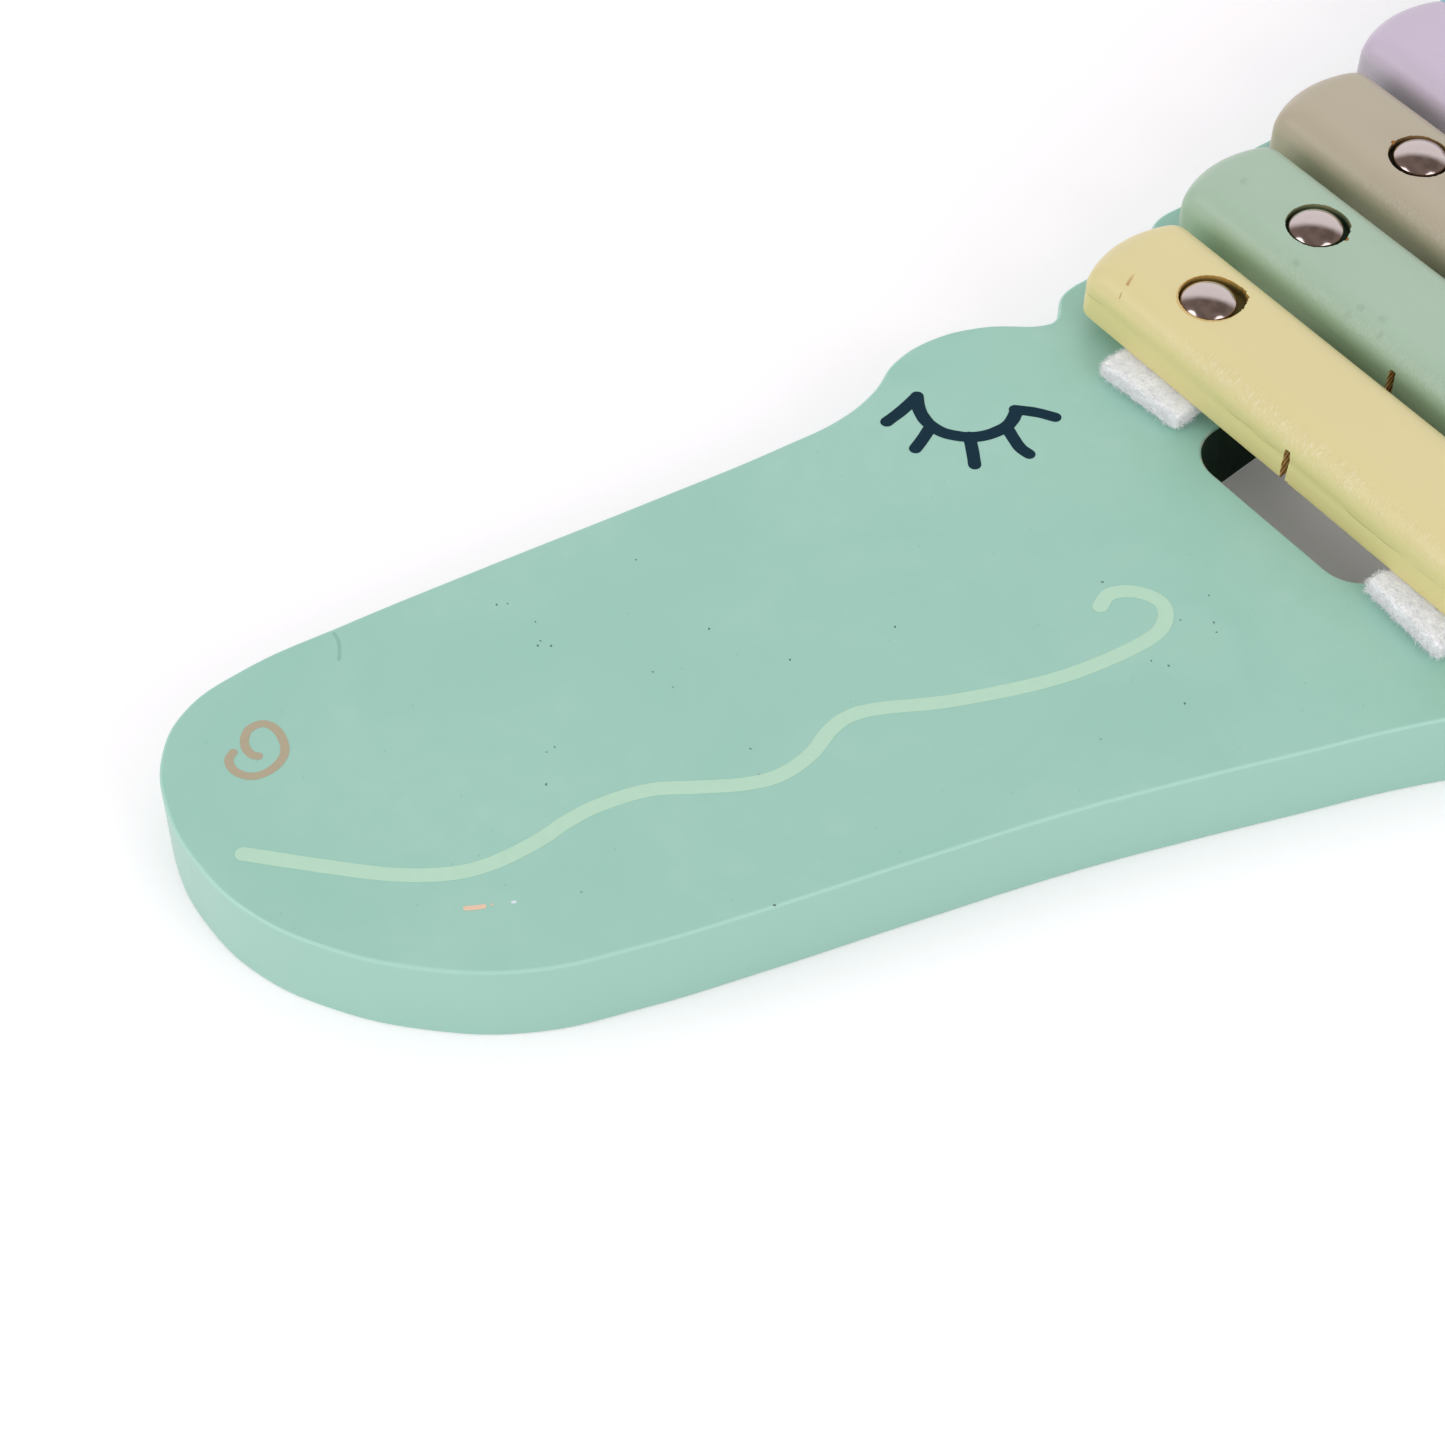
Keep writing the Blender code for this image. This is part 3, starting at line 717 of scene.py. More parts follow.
def mark_edges(board, ease):
    """Marks the opening's eased edge, where paint wears off, and the outline's, where a highlight is painted.
    """
    worn = board.data.attributes.new("worn", "FLOAT", "POINT")
    arris = board.data.attributes.new("arris", "FLOAT", "POINT")
    for worn_point, arris_point, vertex in zip(worn.data, arris.data, board.data.vertices):
        on_arris = ARRIS_SHARES[0] < (BOARD_TOP - vertex.co.z) / ease < ARRIS_SHARES[1]
        at_slot = in_slot(vertex.co, 2 * ease)
        worn_point.value = float(on_arris and at_slot)
        arris_point.value = float(on_arris and not at_slot)


def make_board(settings):
    """Cuts the board out as a flat curve with eased edges, and turns it into a mesh."""
    ease = settings.edge_round
    board = flat_curve("painted_board", (SNOUT_X, ROW_Y, BOARD_TOP / 2), BOARD_TOP / 2 - ease)
    board.data.bevel_depth = ease
    board.data.bevel_resolution = settings.edge_steps
    board.data.offset = -ease
    spline = board.data.splines.new("BEZIER")
    outline = board_outline()
    spline.bezier_points.add(len(outline) - 1)
    for point, (x, y) in zip(spline.bezier_points, outline):
        point.co = (x, y, 0)
        point.handle_left_type = point.handle_right_type = "AUTO"
    spline.use_cyclic_u = True
    spline.resolution_u = settings.outline_steps
    add_loop(board, slot_outline(settings.outline_steps))
    cut_out(board)
    smooth(board, angle=40)
    dress(board, board_paint(settings), slot_shade_paint(settings))
    # The opening's upright walls take the dark painted-shade material
    for face in board.data.polygons:
        side_on = abs(face.normal.z) < SIDE_ON
        face.material_index = 1 if side_on and in_slot(face.center, ease / 2) else 0
    mark_edges(board, ease)
    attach(board, "board")
    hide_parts("crocodile_board")


def smooth_line(points):
    """A smooth line through the points, as a list of closer points."""
    line = [Vector(point) for point in points]
    line = [2 * line[0] - line[1], *line, 2 * line[-1] - line[-2]]
    path = []
    for first, second, third, fourth in zip(line, line[1:], line[2:], line[3:]):
        for number in range(STROKE_STEPS):
            t = number / STROKE_STEPS
            path.append(0.5 * (2 * second + (third - first) * t
                               + (2 * first - 5 * second + 4 * third - fourth) * t * t
                               + (3 * second - first - 3 * third + fourth) * t ** 3))
    path.append(line[-2])
    return path


def stroke(points, width):
    """Outline of a brush stroke: both sides of a smooth line through the points, with round ends."""
    path = smooth_line(points)
    radius = width / 2
    headings = [(after - before).normalized() for before, after in zip(path, path[1:])]
    headings = [headings[0]] + [(a + b).normalized() for a, b in zip(headings, headings[1:])] + [headings[-1]]
    left, right = [], []
    for spot, heading in zip(path, headings):
        uneven = radius * (1 + STROKE_UNEVEN_SHARE * noise.noise(Vector((*spot, 0)) * 900))
        left.append(spot + heading.orthogonal() * uneven)
        right.append(spot - heading.orthogonal() * uneven)
    caps = []
    for end, heading in ((path[-1], headings[-1]), (path[0], -headings[0])):
        turns = [math.pi * number / CAP_STEPS for number in range(1, CAP_STEPS)]
        caps.append([end + radius * (heading.orthogonal() * math.cos(turn) + heading * math.sin(turn))
                     for turn in turns])
    return left + caps[0] + right[::-1] + caps[1]


def make_strokes(name, strokes, width, proud, material):
    """Lays brush strokes on the board as flat films of ink, cut from filled curves."""
    piece = flat_curve(name, (0, 0, BOARD_TOP), proud)
    for points in strokes:
        add_loop(piece, stroke(points, width))
    cut_out(piece)
    dress(piece, material)
    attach(piece, "board")


def make_face(settings):
    """Prints the mouth, the closed eye and the nostril, and lays down the stray marks around them."""
    proud, width = settings.proud, settings.fleck_width
    paint, peach = tuple(settings.board), tuple(settings.fleck)
    mouth_ink = ink("pale mouth ink", tuple(settings.mouth))
    make_strokes("mouth_line", (MOUTH,), settings.mouth_width, proud, mouth_ink)
    eye_ink = ink("navy eye ink", tuple(settings.eye), 0.08)
    make_strokes("closed_eyelid", (EYELID,), settings.lid_width, proud * 1.3, eye_ink)
    make_strokes("eyelashes", LASHES, settings.lash_width, proud, eye_ink)
    nostril_ink = ink("sand nostril ink", tuple(settings.nostril))
    make_strokes("nostril_curl", (NOSTRIL,), settings.nostril_width, proud, nostril_ink)
    make_strokes("peach_fleck", (PEACH_FLECK,), width, proud, ink("peach fleck", peach))
    faint_ink = ink("faint fleck", blended(paint, peach, 0.5))
    make_strokes("faint_fleck", (FAINT_FLECK,), width * 0.6, proud, faint_ink)
    make_strokes("white_fleck", (WHITE_FLECK,), width * 0.6, proud, ink("white fleck", WHITE_PAINT))
    make_strokes("scuff", (SCUFF,), width * 0.7, proud / 2, ink("scuffed paint", scaled(paint, 0.84)))
    rng = random.Random(5)
    for first, share, name in ((0, 0.38, "large_dust_specks"), (1, 0.27, "small_dust_specks")):
        specks = []
        for x, y in DUST_SPECKS[first::2]:
            specks.append(((x, y), (x + rng.uniform(-1, 1) * MILLIMETRE / 8, y + MILLIMETRE / 10)))
        make_strokes(name, specks, width * share, proud / 2, ink(name, scaled(paint, 0.32)))


def bar_ring(width, length, inset, settings):
    """Plan of a bar about its middle, drawn in by an inset: bowed ends, tight corners and long sides."""
    corner = settings.end_corner
    inner_x = width / 2 - inset - corner
    centre_y = length / 2 - inset - settings.end_radius
    reach = settings.end_radius - corner
    turn = math.asin(inner_x / reach)
    corner_y = centre_y + reach * math.cos(turn)
    near, far = RIGHT_ANGLE - turn, RIGHT_ANGLE + turn
    half = arc((inner_x, corner_y), corner, 0, near, settings.corner_steps)
    half += arc((0, centre_y), settings.end_radius, near, far, settings.end_steps)[1:-1]
    half += arc((-inner_x, corner_y), corner, far, math.pi, settings.corner_steps)
    for number in range(1, settings.side_steps):
        half.append((inset - width / 2, corner_y * (1 - 2 * number / settings.side_steps)))
    return half + [(-x, -y) for x, y in half]


def bar_levels(thickness, settings):
    """Heights and insets of a bar's rings, from its eased bottom edge to the top of its rounding."""
    ease = settings.bottom_ease
    levels = [(0, ease), (ease * 0.3, ease * 0.3), (ease, 0)]
    wall = thickness - settings.top_round
    for number in range(1, settings.wall_steps + 1):
        levels.append((ease + (wall - ease) * number / settings.wall_steps, 0))
    power = 2 / settings.round_power
    for number in range(1, settings.round_steps + 1):
        angle = RIGHT_ANGLE * number / settings.round_steps
        inset = settings.round_inset * (1 - max(math.cos(angle), 0) ** power)
        levels.append((wall + settings.top_round * math.sin(angle) ** power, inset))
    return levels


def wear_bar(bar, number, settings):
    """Moves the points a little, as sanding leaves wood: a slow waviness, and a groove along one side."""
    low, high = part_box("bar_" + COLOURS[number])
    seed = Vector((3.1 * number, 1.7 * number, 0.4 * number))
    groove = settings.groove * GROOVE_SHARES[number]
    for vertex in bar.data.vertices:
        co = vertex.co
        away = Vector((co.x, 0, 0)).normalized() if abs(co.x) > MILLIMETRE else Vector()
        wave = noise.noise(Vector((co.x * 60, co.y * 32, co.z * 90)) + seed)
        shift = away * wave * settings.waviness
        if co.x < 0:
            height = settings.groove_height * (1 + 0.16 * noise.noise(Vector((0, co.y * 30, 5)) + seed))
            along = max(0.55 + 0.6 * noise.noise(Vector((9, co.y * 22, 2)) + seed), 0)
            across = math.exp(-((co.z - height) / settings.groove_width) ** 2)
            side_on = clamped((abs(co.x) / (high.x - low.x) * 2 - 0.8) / 0.2, 0, 1)
            shift -= away * groove * along * across * side_on
        vertex.co = co + shift


def fray(cutter, place, thickness, recess, phase, settings):
    """Moves a recess cutter out where the drill wandered, and its rim where it broke the paint."""
    overrun, direction = OVERRUNS.get(recess, (0.2, 60 * recess))
    turn = math.radians(direction)
    heading = Vector((math.cos(turn), math.sin(turn), 0))
    middle = Vector((*place, 0))
    for vertex in cutter.data.vertices:
        spread = (vertex.co - middle) * Vector((1, 1, 0))
        if spread.length > settings.recess_radius * 0.9:
            out = spread.normalized()
            one_sided = max(out.dot(heading), 0) ** 5
            ragged = 1 + 0.7 * noise.noise(Vector((*(out.xy * 8), recess)))
            vertex.co += heading * overrun * MILLIMETRE * one_sided * ragged
        if vertex.co.z > thickness:
            out = ((vertex.co - middle) * Vector((1, 1, 0))).normalized()
            ragged = 0.5 + 0.5 * noise.noise(Vector((out.x * 2.2, out.y * 2.2, phase)))
            ragged += 0.7 * noise.noise(Vector((out.x * 13, out.y * 13, phase)))
            flare = 1 + MILLIMETRE / settings.ragged_depth
            vertex.co += out * settings.ragged_width * max(ragged, 0.1) * flare


def hole_cutter(place, thickness, recess, settings):
    """A recess over a through hole in one body, flared and ragged where the drill broke the paint."""
    rng = random.Random(100 + recess)
    tall = settings.recess_depth + MILLIMETRE
    start()
    bpy.ops.mesh.primitive_cylinder_add(vertices=RECESS_SIDES, radius=settings.recess_radius, depth=tall,
                                        location=(*place, thickness + MILLIMETRE - tall / 2))
    cutter = named("recess_cutter")
    apply_all(cutter)
    edit(cutter)
    bpy.ops.mesh.bisect(plane_co=(0, 0, thickness - settings.ragged_depth), plane_no=(0, 0, 1))
    choose(cutter, "faces", lambda face: face.normal.z < FACING_DOWN)
    bpy.ops.mesh.inset(thickness=settings.recess_radius - settings.hole_radius)
    draw_out(settings.recess_depth - thickness - MILLIMETRE)
    leave()
    settle(cutter)
    fray(cutter, place, thickness, recess, rng.uniform(0, 50), settings)
    return cutter


def kerf_cutter(width, middle_y, number, settings):
    """The saw's blade from below, a little uneven, and narrower where torn fibres fill the cut's end."""
    tall = settings.kerf_depth + MILLIMETRE
    start()
    bpy.ops.mesh.primitive_cube_add(size=1, location=(0, middle_y, tall / 2 - MILLIMETRE),
                                    scale=(width + 2 * MILLIMETRE, settings.kerf_width, tall))
    cutter = named("saw_cutter")
    apply_all(cutter)
    edit(cutter)
    bpy.ops.mesh.subdivide(number_cuts=SAW_CUTS)
    leave()
    tear = settings.tear_height * TEAR_SHARES[number]
    for vertex in cutter.data.vertices:
        co = vertex.co
        uneven = noise.noise(co * 1400 + Vector((number, 0, 0)))
        low = clamped(1 - co.z / tear, 0, 1)
        top = clamped((co.z - settings.kerf_depth + tear * 0.6) / (tear * 0.6), 0, 1)
        near_end = clamped((3 * MILLIMETRE - width / 2 - co.x) / (2 * MILLIMETRE), 0, 1)
        pinch = 1 - (0.2 * low ** 0.5 + 0.45 * top ** 2) * near_end * (0.8 + 0.5 * uneven)
        co.y = middle_y + (co.y - middle_y) * pinch + settings.kerf_uneven * uneven
    return cutter


def chip_cutter(place, radius, seed):
    """A small uneven lump that breaks a chip out of an edge."""
    start()
    bpy.ops.mesh.primitive_ico_sphere_add(subdivisions=3, radius=radius, location=place)
    cutter = named("chip_cutter")
    apply_all(cutter)
    centre = Vector(place)
    for vertex in cutter.data.vertices:
        out = vertex.co - centre
        uneven = noise.noise(out / radius * 1.7 + Vector((seed, 0, 0)))
        vertex.co = centre + out * (1 + 0.35 * uneven)
    return cutter


def join(objects, name):
    start()
    for obj in objects:
        obj.select_set(True)
    bpy.context.view_layer.objects.active = objects[0]
    if len(objects) > 1:
        bpy.ops.object.join()
    return named(name)


def cut_away(obj, cutters, material):
    """Cuts the joined cutters out of an object, gives the new walls the material and removes the cutters."""
    cutter = join(cutters, "cutters")
    dress(cutter, material)
    cut = obj.modifiers.new("cut", "BOOLEAN")
    cut.operation = "DIFFERENCE"
    cut.solver = "EXACT"
    cut.material_mode = "TRANSFER"
    cut.use_hole_tolerant = True
    cut.object = cutter
    before = len(obj.data.polygons)
    take(obj)
    bpy.ops.object.modifier_apply(modifier=cut.name)
    bpy.data.objects.remove(cutter)
    if len(obj.data.polygons) < before:
        raise RuntimeError("the cut took %s away" % obj.name)


def move_ring(bar, before, after):
    """Moves the points of the selected ring from one plan to the next."""
    work = bmesh.from_edit_mesh(bar.data)
    near = kdtree.KDTree(len(before))
    for number, (x, y) in enumerate(before):
        near.insert((x, y, 0), number)
    near.balance()
    for vertex in work.verts:
        if vertex.select:
            found = near.find((vertex.co.x, vertex.co.y, 0))[1]
            vertex.co.x, vertex.co.y = after[found]
    bmesh.update_edit_mesh(bar.data)


def bar_blank(name, size, settings):
    """Draws a bar up from its plan, ring by ring, before anything is cut in it."""
    width, length, thickness = size
    levels = bar_levels(thickness, settings)
    rings = [bar_ring(width, length, inset, settings) for _, inset in levels]
    start()
    bpy.ops.mesh.primitive_circle_add(vertices=len(rings[0]), fill_type="NGON")
    bar = named(name)
    for vertex, point in zip(bar.data.vertices, rings[0]):
        vertex.co = (*point, 0)
    edit(bar)
    for (below, _), (height, _), before, after in zip(levels, levels[1:], rings, rings[1:]):
        draw_out(height - below)
        move_ring(bar, before, after)
    close_up()
    settle(bar)
    return bar


def rim_chips(place, thickness, recess, settings):
    """Cutters for the chips along the rim of one recess."""
    chips = []
    for direction, radius in RIM_CHIPS.get(recess, ()):
        angle = math.radians(direction)
        reach = settings.recess_radius + 0.25 * radius * MILLIMETRE
        spot = (reach * math.cos(angle), place[1] + reach * math.sin(angle), thickness)
        chips.append(chip_cutter(spot, radius * MILLIMETRE, recess // 2))
    return chips


def cut_bar(bar, number, size, settings):
    """Bores a bar's two recesses and holes, breaks chips from its edges and saws its tuning cut."""
    width, length, thickness = size
    name = COLOURS[number]
    colour = tuple(getattr(settings, name))
    bare = bare_wood(name, colour, settings)
    recesses, splits = [], []
    for recess, side in enumerate(SIDES, 2 * number):
        place = (0, middle_of("nail_%s_%s" % (name, side)).y - middle_of("bar_" + name).y)
        recesses.append(hole_cutter(place, thickness, recess, settings))
        splits += rim_chips(place, thickness, recess, settings)
    kerf_y = KERF_SHARES[number] * length / 2
    saw = kerf_cutter(width, kerf_y, number, settings)
    for side, radius in ((-1, 0.55 * MILLIMETRE), (1, 0.38 * MILLIMETRE)):
        edge_y = kerf_y + side * (settings.kerf_width / 2 + 0.2 * MILLIMETRE)
        splits.append(chip_cutter((-width / 2, edge_y, 0), radius, 9 * number))
    cut_away(bar, recesses, recess_shade_paint(name, colour, settings))
    cut_away(bar, splits, bare)
    cut_away(bar, [saw], bare)


def make_bar(number, settings):
    """Makes one painted bar with its holes and its tuning cut, in its place."""
    name = COLOURS[number]
    low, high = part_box("bar_" + name)
    middle = middle_of("bar_" + name)
    bar = bar_blank("painted_bar_" + name, high - low, settings)
    wear_bar(bar, number, settings)
    dress(bar, bar_paint(number, settings))
    cut_bar(bar, number, high - low, settings)
    bar.location = (middle.x, middle.y, low.z)
    apply_all(bar)
    flank = bar.data.attributes.new("flank", "FLOAT", "POINT")
    round_start = high.z - settings.top_round
    for point, vertex in zip(flank.data, bar.data.vertices):
        point.value = clamped(1 - (vertex.co.z - round_start) / settings.top_round, 0, 1)
    smooth(bar, angle=42)
    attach(bar, name + "_bar")
    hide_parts("bar_" + name)


def felt_block(name, size, place, lean, settings):
    """A soft block: a fine grid drawn down to its thickness, with its edges worn round."""
    length, width, thickness = size
    start()
    bpy.ops.mesh.primitive_grid_add(x_subdivisions=int(length / settings.felt_grid),
                                    y_subdivisions=int(width / settings.felt_grid), size=1)
    felt = named(name)
    felt.scale = (length, width, 1)
    apply_all(felt)
    edit(felt)
    for _ in range(FELT_LAYERS):
        draw_out(-thickness / FELT_LAYERS)
    close_up()
    settle(felt)
    ease = settings.felt_ease
    for vertex in felt.data.vertices:
        co = vertex.co
        inner = Vector((clamped(co.x, ease - length / 2, length / 2 - ease),
                        clamped(co.y, ease - width / 2, width / 2 - ease),
                        clamped(co.z, ease - thickness, -ease)))
        out = co - inner
        if sum(abs(part) > ease * 0.01 for part in out) > 1:
            vertex.co = inner + out.normalized() * ease * 0.5 + out * 0.5
    soften = felt.modifiers.new("soften", "SUBSURF")
    soften.levels = soften.render_levels = 1
    lumps = bpy.data.textures.new(name + "_lumps", "CLOUDS")
    lumps.noise_scale = settings.lump_size
    lumps.noise_depth = 3
    uneven = felt.modifiers.new("uneven", "DISPLACE")
    uneven.texture = lumps
    uneven.strength = settings.lump_height
    uneven.mid_level = 0.5
    felt.rotation_euler = (0, 0, lean)
    felt.location = place
    apply_all(felt)
    return felt


def bar_spans():
    """Where each bar starts and ends along the row."""
    return [(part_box("bar_" + name)[0].x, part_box("bar_" + name)[1].x) for name in COLOURS]


def swell_between_bars(felt, floor, top, settings):
    """The felt swells a little where no bar presses on it, and stays just under the bars."""
    spans = bar_spans()
    for vertex in felt.data.vertices:
        x = vertex.co.x
        free = min(max(low - x, x - high, 0) for low, high in spans)
        height = max(0, (vertex.co.z - floor) / (top - floor))
        vertex.co.z += settings.swell * min(free / settings.swell_reach, 1) * height
        limit = top if free < MILLIMETRE / 4 else top + settings.swell
        vertex.co.z = clamped(vertex.co.z, floor, limit)


def open_faces(felt, settings):
    """The felt's faces that nothing presses on, and how much fuzz each one carries."""
    spans = bar_spans()
    faces, weights = [], []
    for face in felt.data.polygons:
        under = any(low < face.center.x < high for low, high in spans)
        if face.normal.z >= UNDERSIDE and not (face.normal.z > UPPER_SIDE and under):
            faces.append(face)
            weights.append(face.area * (1.0 if under else settings.open_share))
    return faces, weights


def fibre_line(felt, face, rng, settings):
    """The base, bend and tip of one loose fibre that stands off a face, and the way that its base points."""
    normal = face.normal
    flat = normal.orthogonal().normalized()
    flat.rotate(Matrix.Rotation(rng.uniform(0, math.tau), 3, normal))
    rise = math.radians(rng.triangular(*FIBRE_RISE))
    first = flat * math.cos(rise) + normal * math.sin(rise)
    bend = math.radians(rng.uniform(*FIBRE_BEND))
    second = flat * math.cos(rise - bend) + normal * math.sin(rise - bend)
    second.rotate(Matrix.Rotation(rng.uniform(*FIBRE_TWIST), 3, normal))
    short, long = (settings.fibre_length * share for share in FIBRE_LENGTH_SHARES)
    length = rng.triangular(short, long, settings.fibre_length)
    corners = [felt.data.vertices[number].co for number in face.vertices]
    across = corners[0].lerp(corners[1], rng.random()), corners[-1].lerp(corners[2], rng.random())
    base = across[0].lerp(across[1], rng.random()) - normal * settings.fibre_radius * 2
    joint = base + first * length / 2
    return base, joint, joint + second * length / 2, first


def fibre_skin(base, joint, tip, first, normal, radius):
    """Points of a fibre's three-sided skin, which narrows from its base over its bend to its tip."""
    side = first.cross(normal).normalized() * radius
    back = first.cross(side).normalized() * radius
    corners = [side * x + back * y for x, y in FIBRE_SHAPE]
    return [base + corner for corner in corners] + [joint + corner * BEND_SHARE for corner in corners] + [tip]


def fibres(felt, top, settings, seed):
    """Fine loose wool fibres that stand off the felt's open faces, as one mesh."""
    rng = random.Random(seed)
    faces, weights = open_faces(felt, settings)
    points, polygons = [], []
    for face in rng.choices(faces, weights, k=settings.fibre_count):
        base, joint, tip, first = fibre_line(felt, face, rng, settings)
        if max(joint.z, tip.z) > top + settings.fuzz_height or min(joint.z, tip.z) < BOARD_TOP:
            continue
        start_at = len(points)
        points += fibre_skin(base, joint, tip, first, face.normal, settings.fibre_radius)
        polygons += [[start_at + number for number in corners] for corners in FIBRE_FACES]
    mesh = bpy.data.meshes.new(felt.name + "_fibres")
    mesh.from_pydata(points, [], polygons)
    loose = bpy.data.objects.new(mesh.name, mesh)
    bpy.context.scene.collection.objects.link(loose)
    return loose


def make_felt(side, settings):
    """Lays a felt strip under the row of nails on one side, swollen between the bars and fuzzy."""
    node = "felt_strip_" + side
    low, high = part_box(node)
    first, last = (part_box("nail_%s_%s" % (name, side)) for name in (COLOURS[0], COLOURS[-1]))
    run = last[0] + last[1] - first[0] - first[1]
    lean = math.atan2(run.y, run.x)
    width = settings.felt_width
    length = (high.x - low.x - width * abs(math.sin(lean))) / math.cos(lean)
    place = (middle_of(node).x, middle_of(node).y, high.z)
    felt = felt_block("felt_pad_" + side, (length, width, high.z - low.z), place, lean, settings)
    swell_between_bars(felt, low.z, high.z, settings)
    loose = fibres(felt, high.z, settings, SIDES.index(side))
    wool = felt_wool(settings)
    dress(felt, wool)
    dress(loose, wool)
    join([felt, loose], "felt_pad_" + side)
    take(felt)
    bpy.ops.object.shade_smooth()
    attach(felt, "board")
    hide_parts(node)


def level_with(edge, height):
    """Whether both ends of an edge lie at a height."""
    return all(abs(vertex.co.z - height) < MILLIMETRE / 100 for vertex in edge.verts)


def model_nail(settings):
    """One nail: a ball cut down to the dome of its head, then its rim, shank and point drawn out below."""
    low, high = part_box("nail_yellow_back")
    head = settings.head_radius
    rim_top = high.z - settings.crown
    rim_low = rim_top - settings.rim
    ball = (head ** 2 + settings.crown ** 2) / (2 * settings.crown)
    start()
    bpy.ops.mesh.primitive_uv_sphere_add(segments=64, ring_count=96, radius=ball,
                                         location=(0, 0, high.z - ball))
    nail = named("domed_nail")
    apply_all(nail)
    edit(nail)
    bpy.ops.mesh.bisect(plane_co=(0, 0, rim_top), plane_no=(0, 0, 1), clear_inner=True, use_fill=True)
    choose(nail, "faces", lambda face: face.normal.z < FACING_DOWN)
    draw_out(-settings.rim)
    bpy.ops.mesh.inset(thickness=head - settings.shank_radius)
    draw_out(low.z + settings.point_length - rim_low)
    draw_out(-settings.point_length)
    bpy.ops.mesh.merge(type="CENTER")
    close_up()
    settle(nail)

    def on_rim(edge):
        return level_with(edge, rim_low) and all(vertex.co.xy.length > head * 0.9 for vertex in edge.verts)

    edit(nail)
    bpy.ops.mesh.select_mode(type="EDGE")
    choose(nail, "edges", on_rim)
    bpy.ops.mesh.bevel(offset=settings.rim * 0.6, segments=4, affect="EDGES")
    choose(nail, "edges", lambda edge: level_with(edge, rim_top))
    bpy.ops.mesh.bevel(offset=settings.rim * 0.35, segments=3, affect="EDGES")
    close_up()
    settle(nail)
    dress(nail, nickel_plate(settings))
    smooth(nail, angle=45)
    return nail


def make_nails(settings):
    """Copies the nail to each of its places, each copy with a mesh of its own."""
    pattern = model_nail(settings)
    for colour_name in COLOURS:
        for side in SIDES:
            node = "nail_%s_%s" % (colour_name, side)
            nail = pattern.copy()
            nail.data = pattern.data.copy()
            nail.name = nail.data.name = "domed_" + node
            bpy.context.scene.collection.objects.link(nail)
            nail.location = (middle_of(node).x, middle_of(node).y, 0)
            apply_all(nail)
            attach(nail, "board")
            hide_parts(node)
    bpy.data.objects.remove(pattern)


def make_floor(settings):
    """A wide pale floor that keeps the toy's shadow. It shows white to the eye and in polished metal."""
    start()
    bpy.ops.mesh.primitive_plane_add(size=settings.floor_size, location=(0, 0, 0))
    floor = named("floor")
    look = Look("white paper floor")
    seen = look.seen()
    paper = look.mix(look.noise(3), scaled(settings.paper, 0.99), tuple(settings.paper))
    beside = look.near((0, 0, 0), settings.paper_reach)
    tone = look.mix(seen, paper, look.mix(beside, BLACK, tuple(settings.paper_near)))
    lift = (1 - beside) * (1 - settings.shade_lift) + settings.shade_lift
    plain = look.value("BsdfDiffuse", None, {"Color": tone})
    glow = look.value("Emission", None, {"Color": WHITE, "Strength": seen * lift})
    both = look.value("AddShader", None, {0: plain, 1: glow})
    look.feed(look.tree.nodes["Material Output"].inputs[0], both)
    dress(floor, look.owner)


def make_room(settings):
    """A dome that only gloss shows: a bright wall beyond the toy, and a dim room behind the camera."""
    start()
    bpy.ops.mesh.primitive_uv_sphere_add(segments=48, ring_count=24, radius=settings.room_reach)
    room = named("studio_room")
    edit(room)
    bpy.ops.mesh.bisect(plane_co=(0, 0, ROOM_FOOT), plane_no=(0, 0, 1), clear_inner=True)
    leave()
    look = Look("studio room")
    wall = tuple(Vector(settings.wall_direction).normalized() / settings.room_reach)
    facing = look.value("VectorMath", {"operation": "DOT_PRODUCT"}, {0: look.place, 1: wall}, "Value")
    facing += look.noise(1.5) * 0.06
    dim = tuple(settings.dim_tone)
    shade = look.mix(look.step(look.noise(0.8, 1), 0.35, 0.65), scaled(dim, 0.8), scaled(dim, 1.2))
    tone = look.mix(look.step(facing, settings.wall_edge - 0.15, settings.wall_edge + 0.17), shade, WHITE)
    dress(room, look.finish(base_color=BLACK, emission_color=tone, emission_strength=1.0, specular=0.0))
    for rays in ("camera", "diffuse", "transmission", "shadow"):
        setattr(room, "visible_" + rays, False)


def make_lights(settings):
    """Soft light from all round, with a soft lamp on the snout's side and one on the tail's side."""
    sky = Look("white studio", world=True)
    strength = sky.seen() * (1 - settings.sky_strength) + settings.sky_strength
    bpy.context.scene.world = sky.finish(color=WHITE, strength=strength)
    for name, place, size, power in (
        ("snout side lamp", settings.snout_lamp_place, settings.snout_lamp_size, settings.snout_lamp_power),
        ("tail side lamp", settings.tail_lamp_place, settings.tail_lamp_size, settings.tail_lamp_power),
    ):
        start()
        bpy.ops.object.light_add(type="AREA", location=tuple(place))
        lamp = bpy.context.object
        lamp.name = name
        lamp.data.energy = power
        lamp.data.shape = "DISK"
        lamp.data.size = size
        lamp.rotation_euler = (LAMP_AIM - Vector(place)).to_track_quat("-Z", "Y").to_euler()


def make_camera(settings):
    start()
    bpy.ops.object.camera_add(location=tuple(settings.camera_place), rotation=tuple(settings.camera_turn))
    camera = bpy.context.object
    camera.data.sensor_width = SENSOR_WIDTH
    camera.data.lens = settings.camera_lens
    camera.data.clip_start = 10 * MILLIMETRE
    bpy.context.scene.camera = camera


def length_prop(name, description, default):
    return FloatProperty(name=name, description=description, default=default, unit="LENGTH")


def number_prop(name, description, default):
    return FloatProperty(name=name, description=description, default=default)


def count_prop(name, description, default):
    return IntProperty(name=name, description=description, default=default)


def colour_prop(name, description, default):
    return FloatVectorProperty(name=name, description=description, default=default, subtype="COLOR")


